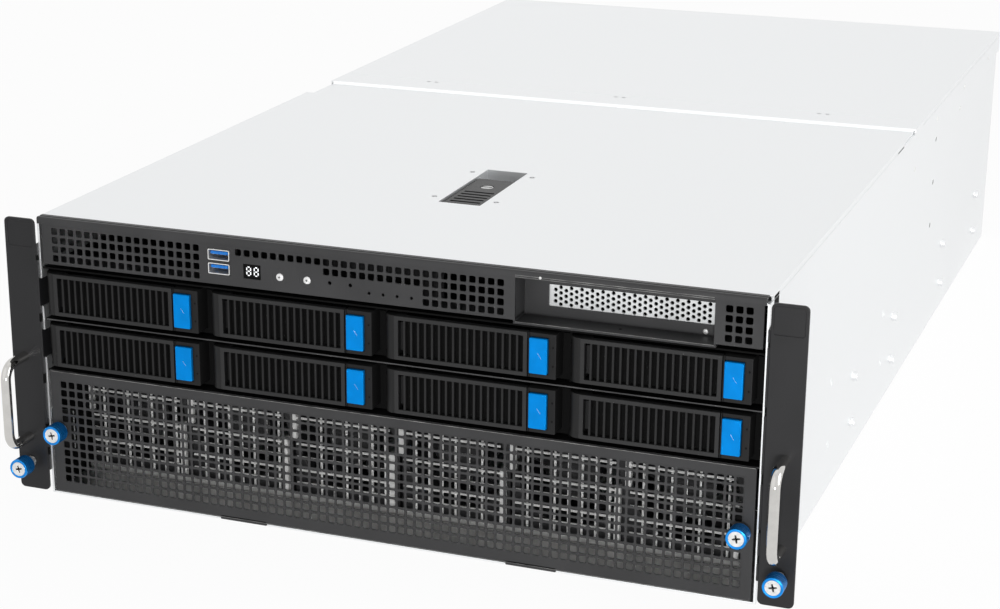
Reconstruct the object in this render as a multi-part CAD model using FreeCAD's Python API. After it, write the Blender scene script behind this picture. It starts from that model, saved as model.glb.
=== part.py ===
import FreeCAD, Part
import math
import os

# Rack server, four units high, with eight drive trays over a wall of fans.
# Millimetres. x runs to the right, z up, and y from the front panel to the back;
# every solid is moved at the end so that the origin is the centre of the chassis floor.

# Enclosure
CHASSIS_W = 439.5
CHASSIS_H = 174.5
CHASSIS_D = 800.0
SHEET = 1.2
COVER_SKIRT = 3.3
WALL_LIP = 10.0
FIT_GAP = 0.3
SEAM = 0.4

# Square perforation of the black panels
HOLE = 3.9
HOLE_PITCH = 5.48
PANEL_EDGE_GAP = 1.55
HOLE_MARGIN = 8.5
GRILLE_CELLS = 3

# Control panel
PANEL_H = 28.5
PANEL_ROWS = 4
PANEL_TOP_ROW = 8.1
LEFT_COLUMNS = 18
RETURN_FLANGE = 18.4
HEM_H = 4.0
HEM_PROUD = 0.8
HEM_D = 6.0
USB_OFFSET = 116.2
USB_W = 13.7
USB_H = 6.5
USB_PITCH = 8.2
USB_LOW = 9.4
USB_SHELL = 0.5
USB_TONGUE = 1.8
DISPLAY_OFFSET = 137.1
DISPLAY_W = 11.0
DISPLAY_H = 8.7
DISPLAY_LOW = 9.8
BUTTON_OFFSETS = (154.6, 171.6)
PUSH_R = 2.3
PUSH_LOW = 8.7
PUSH_PROUD = 0.8
PUSH_TRAVEL = 1.0
DISH_R = 4.6
PIN_OFFSETS = (185.5, 198.1)
PIN_R = 1.1
LED_OFFSETS = (209.5, 218.0, 226.5, 235.1)
LED_R = 0.9
LED_LOW = 5.4
ROW_CLEAR = 4.4
BOARD_T = 1.6
BOARD_GAP = 14.0

# Expansion slot recess in the control panel
RECESS_W = 111.5
RECESS_D = 16.0
RIGHT_BLOCK_W = 26.5
LEDGE_DROP = 1.0
WINDOW_LOW = 6.0
WINDOW_H = 12.6
WINDOW_SIDE = 14.0
VENT_W = 3.0
VENT_PITCH = 6.0
VENT_EDGE = 1.5

# Drive cage and trays
BAY_COLUMNS = 4
BAY_ROWS = 2
BAY_H = 32.0
CAGE_SHEET = 1.0
CAGE_SETBACK = 8.0
CAGE_L = 206.0
TRAY_SIDE_GAP = 0.5
TRAY_L = 190.0
TRAY_FLOOR = 1.5
TRAY_RAIL = 2.0
TRAY_RAIL_H = 20.0
TRAY_FRONT_H = 27.0
FACE_H = 25.7
FACE_LIFT = 3.4
FACE_PROUD = 2.0
FACE_LEFT = 0.75
FACE_RIGHT = 4.35
LATCH_W = 16.1
LATCH_WALL = 0.8
RELEASE_W = 10.4
RELEASE_H = 20.5
RELEASE_PROUD = 1.8
RELEASE_L = 9.0
RELEASE_TRAVEL = 1.5
LEVER_T = 3.5
LEVER_RIM = 2.4
KNUCKLE_R = 6.0
KNUCKLE_GAP = 0.5
SLOT_W = 3.0
SLOT_PITCH = 4.17
LUG_R = 3.0
LUG_T = 2.0
LUG_SPREAD = 9.5
HINGE_R = 1.5
HINGE_PLAY = 0.08
NOTCH_H = 17.4
NOTCH_D = 12.0

# Fan panel and fans
FAN_PANEL_FOOT = 1.5
TAB_W = 30.0
TAB_X = 90.0
TAB_PLAY = 0.6
FAN_COUNT = 6
FAN_SETBACK = 48.0
FAN_D = 38.0
FAN_GAP = 1.6
FAN_RIM = 3.0
CABLE_CHANNEL = 17.5
HUB_R = 15.0
HUB_L = 17.0
MOTOR_L = 12.0
SHAFT_R = 2.0
SHAFT_PLAY = 0.06
BLADES = 5
BLADE_T = 1.6
BLADE_CHORD = 15.0
BLADE_PITCH_DEG = 40.0
BLADE_TIP_GAP = 1.2
STRUT_W = 4.0

# Thumbscrews
KNOB_R = 6.0
KNOB_L = 10.0
COLLAR_R = 3.5
SCREW_R = 2.0
SCREW_PLAY = 0.3
SCREW_REACH = 6.0
PANEL_SCREW_EDGE = 8.05
PANEL_SCREW_Z = 42.4
PANEL_COLLAR = 3.0
PANEL_TAB_W = 15.0
PANEL_TAB_H = 24.0
PANEL_TAB_PLAY = 0.8
EAR_COLLAR = 5.0
EAR_SCREW_Z = 19.3
EAR_SCREW_R = 2.75
EAR_NECK_R = 2.2
COVER_SCREW_X = 124.0
COVER_SCREW_DROP = 11.0
COVER_COLLAR = 2.0

# Rack ears and handles
RACK_HOLE_OUT = 12.8
EAR_W = 20.1
EAR_T = 2.0
EAR_INSET = 1.6
EAR_SIDE_T = 1.25
EAR_SIDE_D = 30.0
EAR_SIDE_Z0 = 15.0
EAR_SIDE_Z1 = 158.0
EAR_CORNER = 3.0
HANDLE_R = 3.0
HANDLE_OUT = 12.75
HANDLE_REACH = 22.3
HANDLE_BEND = 9.0
HANDLE_Z0 = 35.5
HANDLE_Z1 = 87.0

# Rails on the side walls
RAIL_HOLE_R = 2.25
RAIL_HOLES = ((175.0, 30.5), (175.0, 70.5), (340.0, 30.5), (340.0, 65.5))
STUD_R = 3.0
STUD_L = 3.0
STUD_FRONT = 245.0
STUD_BACK = 65.0
STUD_SHARES = (0.0, 133 / 490, 330 / 490, 1.0)
STUD_Z = (21.5, 52.5)

# Top covers
FRONT_COVER_END = 376.0
SHELF_END = 420.0
BRIDGE_END = 450.0
HOOD_D = 12.0
HOOD_DROP = 16.5
PAN_W = 27.0
PAN_Y0 = 119.0
PAN_Y1 = 205.0
PAN_WALL = 1.0
LEVER_W = 24.4
GRIP_Y0 = 120.0
GRIP_T = 4.0
GRIP_DROP = 1.5
GRIP_RIBS = 6
GRIP_RIB_PITCH = 6.0
GRIP_RIB_W = 2.5
GRIP_RIB_DEPTH = 1.0
LEVER_PIVOT_Y = 186.0
LEVER_KNUCKLE_R = 4.5
LEVER_PIN_R = 2.0
LOCK_Y = 168.0
LOCK_R = 4.0
LOCK_T = 3.0
LOCK_PLAY = 0.3

# Back of the server and the inside
SUPPLY_W = 73.5
SUPPLY_H = 40.0
SUPPLY_L = 185.0
SUPPLY_PITCH = 76.0
SUPPLY_EDGE = 8.0
SUPPLY_COUNT = 2
SUPPLY_PULL_W = 30.0
SUPPLY_PULL_T = 4.0
SUPPLY_PULL_L = 20.0
SUPPLY_INLET_W = 27.0
SUPPLY_INLET_H = 20.0
SUPPLY_INLET_D = 14.0
REAR_SLOTS = 16
REAR_SLOT_PITCH = 20.32
REAR_SLOT_W = 14.0
REAR_SLOT_LIFT = 20.5
REAR_SLOT_DROP = 14.0
REAR_SLOT_LAP = 1.5
REAR_PORT_WIDTHS = (40.0, 34.0, 16.0, 16.0, 20.0)
REAR_PORT_Z0 = 14.0
REAR_PORT_H = 16.0
REAR_PORT_D = 18.0
REAR_PORT_WALL = 1.5
MAIN_BOARD_LIFT = 6.0
MAIN_BOARD_EDGE = 14.0
MAIN_BOARD_GAP = 12.0
STANDOFF_W = 8.0
SINK_W = 78.0
SINK_L = 108.0
SINK_H = 50.0
SINK_BASE = 8.0
SINK_FINS = 9
SINK_FIN_T = 2.0
SINK_X = 90.0
MEMORY_PER_SIDE = 4
MEMORY_L = 133.0
MEMORY_H = 31.0
MEMORY_T = 4.0
MEMORY_PITCH = 10.0

# Worked out from the sizes above
HALF = CHASSIS_W / 2
INNER = HALF - SHEET
WALL_TOP = CHASSIS_H - COVER_SKIRT
PLATE_Z = CHASSIS_H - SHEET
PANEL_HALF = INNER - PANEL_EDGE_GAP
PANEL_Z0 = CHASSIS_H - PANEL_H
PANEL_LEFT = -PANEL_HALF
RECESS_X1 = PANEL_HALF - RIGHT_BLOCK_W
RECESS_X0 = RECESS_X1 - RECESS_W
LEDGE_Z = PANEL_Z0 - LEDGE_DROP
SHELF_TOP = LEDGE_Z - SHEET - FIT_GAP - BAY_ROWS * BAY_H
BAY_PITCH = (2 * INNER - CAGE_SHEET) / BAY_COLUMNS
TRAY_W = BAY_PITCH - CAGE_SHEET - 2 * TRAY_SIDE_GAP
PIVOT_Y = KNUCKLE_R - FACE_PROUD
TRAY_Y0 = PIVOT_Y + KNUCKLE_R + KNUCKLE_GAP
CAGE_END = CAGE_SETBACK + CAGE_L
FAN_PANEL_TOP = SHELF_TOP - FIT_GAP
FAN_H = SHELF_TOP - CAGE_SHEET - FAN_GAP - SHEET
FAN_PITCH = (2 * INNER - CABLE_CHANNEL) / FAN_COUNT
FAN_W = FAN_PITCH - FAN_GAP
FAN_BORE_R = min(FAN_W, FAN_H) / 2 - FAN_RIM
FAN_Z = SHEET + FAN_H / 2
PANEL_SCREW_X = INNER - PANEL_SCREW_EDGE
EAR_OUT = HALF + EAR_SIDE_T
RACK_HOLE_X = HALF + RACK_HOLE_OUT
HANDLE_X = HALF + HANDLE_OUT
STUD_SPAN = CHASSIS_D - STUD_FRONT - STUD_BACK
HOOD_END = CHASSIS_D + HOOD_D
COVER_SCREW_Z = CHASSIS_H - COVER_SCREW_DROP
GRIP_TOP = CHASSIS_H - GRIP_DROP
LEVER_PIVOT_Z = GRIP_TOP - LEVER_KNUCKLE_R
SUPPLY_Y0 = CHASSIS_D - SUPPLY_L
SUPPLY_X0 = -INNER + SUPPLY_EDGE
BOARD_TOP = SHEET + MAIN_BOARD_LIFT + BOARD_T
REAR_SLOT_Z0 = SHEET + FIT_GAP + SUPPLY_H + REAR_SLOT_LIFT
REAR_SLOT_Z1 = WALL_TOP - REAR_SLOT_DROP
REAR_PORT_X0 = SUPPLY_X0 + (SUPPLY_COUNT - 1) * SUPPLY_PITCH + SUPPLY_W
REAR_PORT_GAP = (INNER - REAR_PORT_X0 - sum(REAR_PORT_WIDTHS)) / (len(REAR_PORT_WIDTHS) + 1)


def vec(x, y, z):
    return FreeCAD.Vector(x, y, z)


def block(x0, x1, y0, y1, z0, z1):
    return Part.makeBox(x1 - x0, y1 - y0, z1 - z0, vec(x0, y0, z0))


def rod(radius, length, start, direction):
    return Part.makeCylinder(radius, length, start, direction)


def fused(first, *others):
    return first.fuse(list(others)).removeSplitter()


def without(body, tools):
    return body.cut(Part.makeCompound(list(tools)))


def rectangle_xz(x0, x1, z0, z1, y):
    corners = [vec(x0, y, z0), vec(x1, y, z0), vec(x1, y, z1), vec(x0, y, z1)]
    return Part.makePolygon(corners + corners[:1])


def circle_xz(x, z, radius, y):
    return Part.Wire(Part.makeCircle(radius, vec(x, y, z), vec(0, 1, 0)))


def polygon_xz(points, y):
    return Part.makePolygon([vec(x, y, z) for x, z in points + points[:1]])


def pierced_sheet(outline, holes, y0, thickness):
    face = Part.makeFace([outline] + holes, "Part::FaceMakerBullseye")
    return face.extrude(vec(0, thickness, 0))


def square_hole(x, z, size, y):
    return rectangle_xz(x - size / 2, x + size / 2, z - size / 2, z + size / 2, y)


def mirrored(shape):
    return shape.mirror(vec(0, 0, 0), vec(1, 0, 0))


def thumbscrew(x, z, seat_y, collar, shank, back=1.0):
    """Knob and collar up to the seat, then the steps of the shank, each a radius and a length."""
    y = seat_y - back * (KNOB_L + collar)
    pieces = []
    for radius, length in ((KNOB_R, KNOB_L), (COLLAR_R, collar)) + shank:
        pieces.append(rod(radius, length, vec(x, y, z), vec(0, back, 0)))
        y += back * length
    return fused(*pieces)


def chassis_floor():
    floor = block(-INNER, INNER, 0, CHASSIS_D, 0, SHEET)
    reach = SHEET + TAB_PLAY
    half = TAB_W / 2 + FIT_GAP
    return without(floor, [block(x - half, x + half, -1, reach, -1, SHEET + 1) for x in (-TAB_X, TAB_X)])


def side_wall():
    """Right wall; the left one is its mirror image with notches for the levers."""
    plate = block(INNER, HALF, 0, CHASSIS_D, 0, WALL_TOP)
    lip = block(INNER - WALL_LIP, INNER, SHEET + SEAM, CHASSIS_D - SHEET, WALL_TOP - SHEET, WALL_TOP)
    tab = block(INNER - PANEL_TAB_W, INNER, SHEET + SEAM, 2 * SHEET + SEAM,
                PANEL_SCREW_Z - PANEL_TAB_H / 2, PANEL_SCREW_Z + PANEL_TAB_H / 2)
    studs = []
    for share in STUD_SHARES:
        for z in STUD_Z:
            seat = vec(HALF, STUD_FRONT + share * STUD_SPAN, z)
            studs.append(rod(STUD_R, STUD_L, seat, vec(1, 0, 0)))
    across = SHEET + 2
    holes = [rod(RAIL_HOLE_R, across, vec(INNER - 1, y, z), vec(1, 0, 0)) for y, z in RAIL_HOLES]
    holes.append(rod(SCREW_R + PANEL_TAB_PLAY, across, vec(PANEL_SCREW_X, SEAM, PANEL_SCREW_Z), vec(0, 1, 0)))
    return without(fused(plate, lip, tab, *studs), holes)


def left_side_wall():
    notches = []
    for row in range(BAY_ROWS):
        middle = face_bottom(row) + FACE_H / 2
        notches.append(block(-HALF - 1, -INNER + 1, -1, NOTCH_D, middle - NOTCH_H / 2, middle + NOTCH_H / 2))
    return without(mirrored(side_wall()), notches)


def skirts(y0, y1):
    """Turned-down edges that stand on the side walls."""
    right = block(INNER, HALF, y0, y1, WALL_TOP, PLATE_Z)
    return [right, mirrored(right)]


def top_bridge():
    """Sunk shelf that the front cover slides over, and the raised strip behind it."""
    edge = INNER - FIT_GAP
    shelf = block(-edge, edge, FRONT_COVER_END + SEAM, SHELF_END + SHEET, WALL_TOP, WALL_TOP + SHEET)
    riser = block(-edge, edge, SHELF_END, SHELF_END + SHEET, WALL_TOP, CHASSIS_H)
    strip = block(-HALF, HALF, SHELF_END, BRIDGE_END, PLATE_Z, CHASSIS_H)
    return fused(shelf, riser, strip, *skirts(SHELF_END, BRIDGE_END))


def front_cover():
    """Cover plate with the pan for its lever pressed and welded in."""
    y0 = HEM_D + SEAM
    plate = block(-HALF, HALF, y0, FRONT_COVER_END, PLATE_Z, CHASSIS_H)
    half = PAN_W / 2
    outer = half + PAN_WALL
    pan_top = LEVER_PIVOT_Z - LEVER_KNUCKLE_R - FIT_GAP
    pan = block(-outer, outer, PAN_Y0 - PAN_WALL, PAN_Y1 + PAN_WALL, pan_top - PAN_WALL, PLATE_Z)
    hollow = block(-half, half, PAN_Y0, PAN_Y1, pan_top, CHASSIS_H + 1)
    bearing = rod(LEVER_PIN_R + HINGE_PLAY, 2 * outer + 2, vec(-outer - 1, LEVER_PIVOT_Y, LEVER_PIVOT_Z),
                  vec(1, 0, 0))
    return without(fused(plate, pan, *skirts(y0, FRONT_COVER_END)), [hollow, bearing])


def cover_lever():
    half = LEVER_W / 2
    grip = block(-half, half, GRIP_Y0, LEVER_PIVOT_Y, GRIP_TOP - GRIP_T, GRIP_TOP)
    axis = vec(1, 0, 0)
    knuckle = rod(LEVER_KNUCKLE_R, LEVER_W, vec(-half, LEVER_PIVOT_Y, LEVER_PIVOT_Z), axis)
    reach = PAN_W / 2 + PAN_WALL
    pin = rod(LEVER_PIN_R, 2 * reach, vec(-reach, LEVER_PIVOT_Y, LEVER_PIVOT_Z), axis)
    grooves = []
    for index in range(GRIP_RIBS):
        y = GRIP_Y0 + GRIP_RIB_W + index * GRIP_RIB_PITCH
        grooves.append(block(-half + GRIP_RIB_W, half - GRIP_RIB_W, y, y + GRIP_RIB_W,
                             GRIP_TOP - GRIP_RIB_DEPTH, GRIP_TOP + 1))
    pocket = rod(LOCK_R + LOCK_PLAY, LOCK_T + 1, vec(0, LOCK_Y, GRIP_TOP - LOCK_T), vec(0, 0, 1))
    return without(fused(grip, knuckle, pin), grooves + [pocket])


def lever_lock():
    """Round lock head with a coin slot, seated on the floor of its pocket."""
    head = rod(LOCK_R, LOCK_T, vec(0, LOCK_Y, GRIP_TOP - LOCK_T), vec(0, 0, 1))
    slot_half = LOCK_R / 6
    slot = block(-LOCK_R, LOCK_R, LOCK_Y - slot_half, LOCK_Y + slot_half, GRIP_TOP - LOCK_T / 3, GRIP_TOP + 1)
    return head.cut(slot)


def rear_cover():
    y0 = BRIDGE_END + SEAM
    plate = block(-HALF, HALF, y0, HOOD_END, PLATE_Z, CHASSIS_H)
    low = CHASSIS_H - HOOD_DROP
    flange = block(-HALF, HALF, HOOD_END - SHEET, HOOD_END, low, PLATE_Z)
    cheek = block(INNER, HALF, CHASSIS_D + SEAM, HOOD_END, low, PLATE_Z)
    shell = fused(plate, flange, cheek, mirrored(cheek), *skirts(y0, CHASSIS_D + SEAM))
    hole_r = SCREW_R + SCREW_PLAY
    holes = [rod(hole_r, HOOD_D, vec(x, HOOD_END - HOOD_D / 2, COVER_SCREW_Z), vec(0, 1, 0))
             for x in (-COVER_SCREW_X, COVER_SCREW_X)]
    return without(shell, holes)


def supply_left(index):
    return SUPPLY_X0 + index * SUPPLY_PITCH


def rear_slot_x(index):
    return (index - (REAR_SLOTS - 1) / 2) * REAR_SLOT_PITCH


def rear_sockets():
    """Row of sockets beside the supplies: a block for each, with a mouth open to the back."""
    y0 = CHASSIS_D - REAR_PORT_D
    z1 = REAR_PORT_Z0 + REAR_PORT_H
    wall = REAR_PORT_WALL
    x = REAR_PORT_X0 + REAR_PORT_GAP / 2 + FIT_GAP
    sockets = []
    for width in REAR_PORT_WIDTHS:
        end = x + width + REAR_PORT_GAP
        body = block(x, end - FIT_GAP, y0, CHASSIS_D, SHEET, z1)
        left = x + REAR_PORT_GAP / 2 + wall
        mouth = block(left, left + width - 2 * wall, y0 + 2 * wall, CHASSIS_D + 1,
                      REAR_PORT_Z0 + wall, z1 - wall)
        sockets.append(body.cut(mouth))
        x = end
    return sockets


def rear_panel():
    """Rear sheet with the card slots, open below for the supplies and the row of sockets."""
    y0 = CHASSIS_D - SHEET
    supply_top = SHEET + SUPPLY_H + 3 * FIT_GAP
    socket_top = REAR_PORT_Z0 + REAR_PORT_H + FIT_GAP
    supply_x0 = SUPPLY_X0 - FIT_GAP
    supply_x1 = REAR_PORT_X0 + FIT_GAP
    socket_x0 = REAR_PORT_X0 + REAR_PORT_GAP / 2
    socket_x1 = INNER - REAR_PORT_GAP / 2
    outline = polygon_xz([(-INNER, SHEET), (supply_x0, SHEET), (supply_x0, supply_top),
                          (supply_x1, supply_top), (supply_x1, SHEET), (socket_x0, SHEET),
                          (socket_x0, socket_top), (socket_x1, socket_top), (socket_x1, SHEET),
                          (INNER, SHEET), (INNER, WALL_TOP), (-INNER, WALL_TOP)], y0)
    holes = []
    for index in range(REAR_SLOTS):
        x = rear_slot_x(index)
        holes.append(rectangle_xz(x - REAR_SLOT_W / 2, x + REAR_SLOT_W / 2,
                                  REAR_SLOT_Z0, REAR_SLOT_Z1, y0))
    for x in (-COVER_SCREW_X, COVER_SCREW_X):
        holes.append(circle_xz(x, COVER_SCREW_Z, SCREW_R + SCREW_PLAY, y0))
    return pierced_sheet(outline, holes, y0, SHEET)


def rear_fittings():
    """Blank brackets behind the slots of the rear panel, and the row of sockets."""
    y1 = CHASSIS_D - SHEET
    covers = []
    for index in range(REAR_SLOTS):
        x = rear_slot_x(index)
        half = REAR_SLOT_W / 2 + REAR_SLOT_LAP
        covers.append(block(x - half, x + half, y1 - SHEET, y1, REAR_SLOT_Z0 - REAR_SLOT_LAP,
                            REAR_SLOT_Z1 + REAR_SLOT_LAP))
    return Part.makeCompound(covers + rear_sockets())


def power_supply(index):
    """Slide-in supply: case, inlet recess and pull tab."""
    x0 = supply_left(index)
    x1 = x0 + SUPPLY_W
    z0 = SHEET + FIT_GAP
    z1 = z0 + SUPPLY_H
    case = block(x0, x1, SUPPLY_Y0, CHASSIS_D, z0, z1)
    inlet_x = x0 + SUPPLY_EDGE
    inlet_z = (z0 + z1 - SUPPLY_INLET_H) / 2
    inlet = block(inlet_x, inlet_x + SUPPLY_INLET_W, CHASSIS_D - SUPPLY_INLET_D, CHASSIS_D + 1,
                  inlet_z, inlet_z + SUPPLY_INLET_H)
    middle = (z0 + z1) / 2
    pull_x1 = x1 - SUPPLY_EDGE / 2
    pull = block(pull_x1 - SUPPLY_PULL_W, pull_x1, CHASSIS_D, CHASSIS_D + SUPPLY_PULL_L,
                 middle - SUPPLY_PULL_T / 2, middle + SUPPLY_PULL_T / 2)
    return fused(case.cut(inlet), pull)


def panel_row_z(row):
    return CHASSIS_H - PANEL_TOP_ROW - row * HOLE_PITCH


def usb_z(index):
    return PANEL_Z0 + USB_LOW + index * USB_PITCH


def panel_holes(y):
    """Perforation and every opening for sockets, display, buttons and lamps."""
    holes = []
    usb_x = PANEL_LEFT + USB_OFFSET
    led_end = PANEL_LEFT + LED_OFFSETS[-1] + LED_R + ROW_CLEAR
    row_starts = (usb_x + USB_W / 2 + ROW_CLEAR, PANEL_LEFT + BUTTON_OFFSETS[-1] + DISH_R + ROW_CLEAR,
                  led_end, led_end)
    for row in range(PANEL_ROWS):
        z = panel_row_z(row)
        for column in range(LEFT_COLUMNS):
            holes.append(square_hole(PANEL_LEFT + HOLE_MARGIN + column * HOLE_PITCH, z, HOLE, y))
        x = RECESS_X0 - HOLE_MARGIN
        while x > row_starts[row]:
            holes.append(square_hole(x, z, HOLE, y))
            x -= HOLE_PITCH
        x = PANEL_HALF - HOLE_MARGIN
        while x > RECESS_X1 + HOLE_MARGIN / 2 + HOLE / 2:
            holes.append(square_hole(x, z, HOLE, y))
            x -= HOLE_PITCH
    for index in range(2):
        z = usb_z(index)
        grow_x = USB_W / 2 + FIT_GAP
        grow_z = USB_H / 2 + FIT_GAP
        holes.append(rectangle_xz(usb_x - grow_x, usb_x + grow_x, z - grow_z, z + grow_z, y))
    x = PANEL_LEFT + DISPLAY_OFFSET
    z = PANEL_Z0 + DISPLAY_LOW
    holes.append(rectangle_xz(x - DISPLAY_W / 2, x + DISPLAY_W / 2, z - DISPLAY_H / 2, z + DISPLAY_H / 2, y))
    push_z = PANEL_Z0 + PUSH_LOW
    for offset in BUTTON_OFFSETS:
        holes.append(circle_xz(PANEL_LEFT + offset, push_z, PUSH_R + FIT_GAP, y))
    for offset in PIN_OFFSETS:
        holes.append(circle_xz(PANEL_LEFT + offset, push_z, PIN_R, y))
    for offset in LED_OFFSETS:
        holes.append(circle_xz(PANEL_LEFT + offset, PANEL_Z0 + LED_LOW, LED_R, y))
    return holes


def front_panel():
    """Perforated control panel, its hem along the top and the recess for the expansion slot."""
    hem_z = CHASSIS_H - HEM_H
    outline = polygon_xz([(PANEL_LEFT, PANEL_Z0), (RECESS_X0, PANEL_Z0), (RECESS_X0, hem_z),
                          (RECESS_X1, hem_z), (RECESS_X1, PANEL_Z0), (PANEL_HALF, PANEL_Z0),
                          (PANEL_HALF, CHASSIS_H), (PANEL_LEFT, CHASSIS_H)], 0)
    face = pierced_sheet(outline, panel_holes(0), 0, SHEET)
    lip = block(-HALF, HALF, -HEM_PROUD, 0, hem_z, CHASSIS_H)
    flange = block(-HALF, HALF, -HEM_PROUD, HEM_D, PLATE_Z, CHASSIS_H)
    back = RECESS_D + SHEET
    left_return = block(PANEL_LEFT, RECESS_X0, 0, RETURN_FLANGE, PANEL_Z0, PANEL_Z0 + SHEET)
    right_return = block(RECESS_X1, PANEL_HALF, 0, RETURN_FLANGE, PANEL_Z0, PANEL_Z0 + SHEET)
    cheek_z1 = WALL_TOP - SHEET
    left_cheek = block(RECESS_X0 - SHEET, RECESS_X0, 0, back, LEDGE_Z, cheek_z1)
    right_cheek = block(RECESS_X1, RECESS_X1 + SHEET, 0, back, LEDGE_Z, cheek_z1)
    ledge = block(RECESS_X0 - SHEET, RECESS_X1 + SHEET, 0, back, LEDGE_Z - SHEET, LEDGE_Z)
    window_z = LEDGE_Z + WINDOW_LOW
    window = rectangle_xz(RECESS_X0 + WINDOW_SIDE, RECESS_X1 - WINDOW_SIDE / 4, window_z, window_z + WINDOW_H,
                          RECESS_D)
    plate = rectangle_xz(RECESS_X0 - SHEET, RECESS_X1 + SHEET, LEDGE_Z - SHEET, cheek_z1, RECESS_D)
    back_plate = pierced_sheet(plate, [window], RECESS_D, SHEET)
    return fused(face, lip, flange, left_return, right_return, left_cheek, right_cheek, ledge, back_plate)


def slot_cover():
    """Vented bracket behind the window of the recess."""
    y0 = RECESS_D + SHEET
    x0 = RECESS_X0 + WINDOW_SIDE - VENT_EDGE
    x1 = RECESS_X1 - WINDOW_SIDE / 4 + VENT_EDGE
    z0 = LEDGE_Z + WINDOW_LOW - VENT_EDGE
    z1 = LEDGE_Z + WINDOW_LOW + WINDOW_H + VENT_EDGE
    count = int((x1 - x0 - 4 * VENT_EDGE) / VENT_PITCH)
    first = (x0 + x1 - (count - 1) * VENT_PITCH) / 2
    vents = [rectangle_xz(first + index * VENT_PITCH - VENT_W / 2, first + index * VENT_PITCH + VENT_W / 2,
                          z0 + 2 * VENT_EDGE, z1 - 2 * VENT_EDGE, y0) for index in range(count)]
    return pierced_sheet(rectangle_xz(x0, x1, z0, z1, y0), vents, y0, SHEET)


def front_io():
    """Board behind the control panel with two stacked sockets and the display."""
    usb_x = PANEL_LEFT + USB_OFFSET
    y1 = BOARD_GAP
    board = block(usb_x - USB_W, PANEL_LEFT + LED_OFFSETS[-1] + USB_W, y1, y1 + BOARD_T,
                  PANEL_Z0 + SHEET, WALL_TOP - 2 * SHEET)
    pieces = [board]
    for index in range(2):
        z = usb_z(index)
        shell = block(usb_x - USB_W / 2, usb_x + USB_W / 2, -FIT_GAP, y1, z - USB_H / 2, z + USB_H / 2)
        inner_x = USB_W / 2 - USB_SHELL
        inner_z = USB_H / 2 - USB_SHELL
        mouth = block(usb_x - inner_x, usb_x + inner_x, -1, y1 - 2, z - inner_z, z + inner_z)
        tongue = block(usb_x - inner_x + 1, usb_x + inner_x - 1, SHEET, y1 - 1, z, z + USB_TONGUE)
        pieces.append(fused(shell.cut(mouth), tongue))
    x = PANEL_LEFT + DISPLAY_OFFSET
    z = PANEL_Z0 + DISPLAY_LOW
    pieces.append(block(x - DISPLAY_W / 2 - FIT_GAP, x + DISPLAY_W / 2 + FIT_GAP, SHEET + FIT_GAP, y1,
                        z - DISPLAY_H / 2 - FIT_GAP, z + DISPLAY_H / 2 + FIT_GAP))
    return Part.makeCompound(pieces)


def push_button(offset):
    """Round cap in the panel with a stem that stops just short of its switch on the board."""
    z = PANEL_Z0 + PUSH_LOW
    x = PANEL_LEFT + offset
    inward = vec(0, 1, 0)
    cap = rod(PUSH_R, PUSH_PROUD + SHEET + PUSH_TRAVEL, vec(x, -PUSH_PROUD, z), inward)
    stem = rod(PUSH_R / 2, BOARD_GAP - PUSH_TRAVEL - FIT_GAP, vec(x, 0, z), inward)
    return fused(cap, stem)


def shelf_z(row):
    """Top of the shelf under a row of trays; row 0 is the upper one."""
    return SHELF_TOP + (BAY_ROWS - 1 - row) * BAY_H


def face_bottom(row):
    return shelf_z(row) + FIT_GAP + FACE_LIFT


def bay_x(column):
    return -INNER + CAGE_SHEET / 2 + (column + 0.5) * BAY_PITCH


def drive_cage():
    """Three shelves, and upright dividers between them."""
    plates = []
    for row in range(-1, BAY_ROWS):
        top = shelf_z(row)
        plates.append(block(-INNER, INNER, SHEET + SEAM, CAGE_END, top - CAGE_SHEET, top))
    for row in range(BAY_ROWS):
        for column in range(BAY_COLUMNS + 1):
            x = -INNER + column * BAY_PITCH
            plates.append(block(x, x + CAGE_SHEET, CAGE_SETBACK, CAGE_END, shelf_z(row),
                                shelf_z(row) + BAY_H - CAGE_SHEET))
    return Part.makeCompound(plates)


def drive_backplane():
    """Board on the back of the cage with an air slot behind each tray."""
    z0 = shelf_z(BAY_ROWS - 1)
    z1 = shelf_z(-1)
    slots = []
    for row in range(BAY_ROWS):
        z = shelf_z(row) + BAY_H / 2
        for column in range(BAY_COLUMNS):
            x = bay_x(column)
            slots.append(rectangle_xz(x - BAY_PITCH / 4, x + BAY_PITCH / 4, z, z + BAY_H / 4, CAGE_END))
    return pierced_sheet(rectangle_xz(-INNER, INNER, z0, z1, CAGE_END), slots, CAGE_END, BOARD_T)


def tray_face(column):
    """Left end, hinge axis, seam and right end of a tray's face."""
    left = bay_x(column) - TRAY_W / 2 + FACE_LEFT
    right = bay_x(column) + TRAY_W / 2 - FACE_RIGHT
    return left, left + KNUCKLE_R, right - LATCH_W, right


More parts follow.
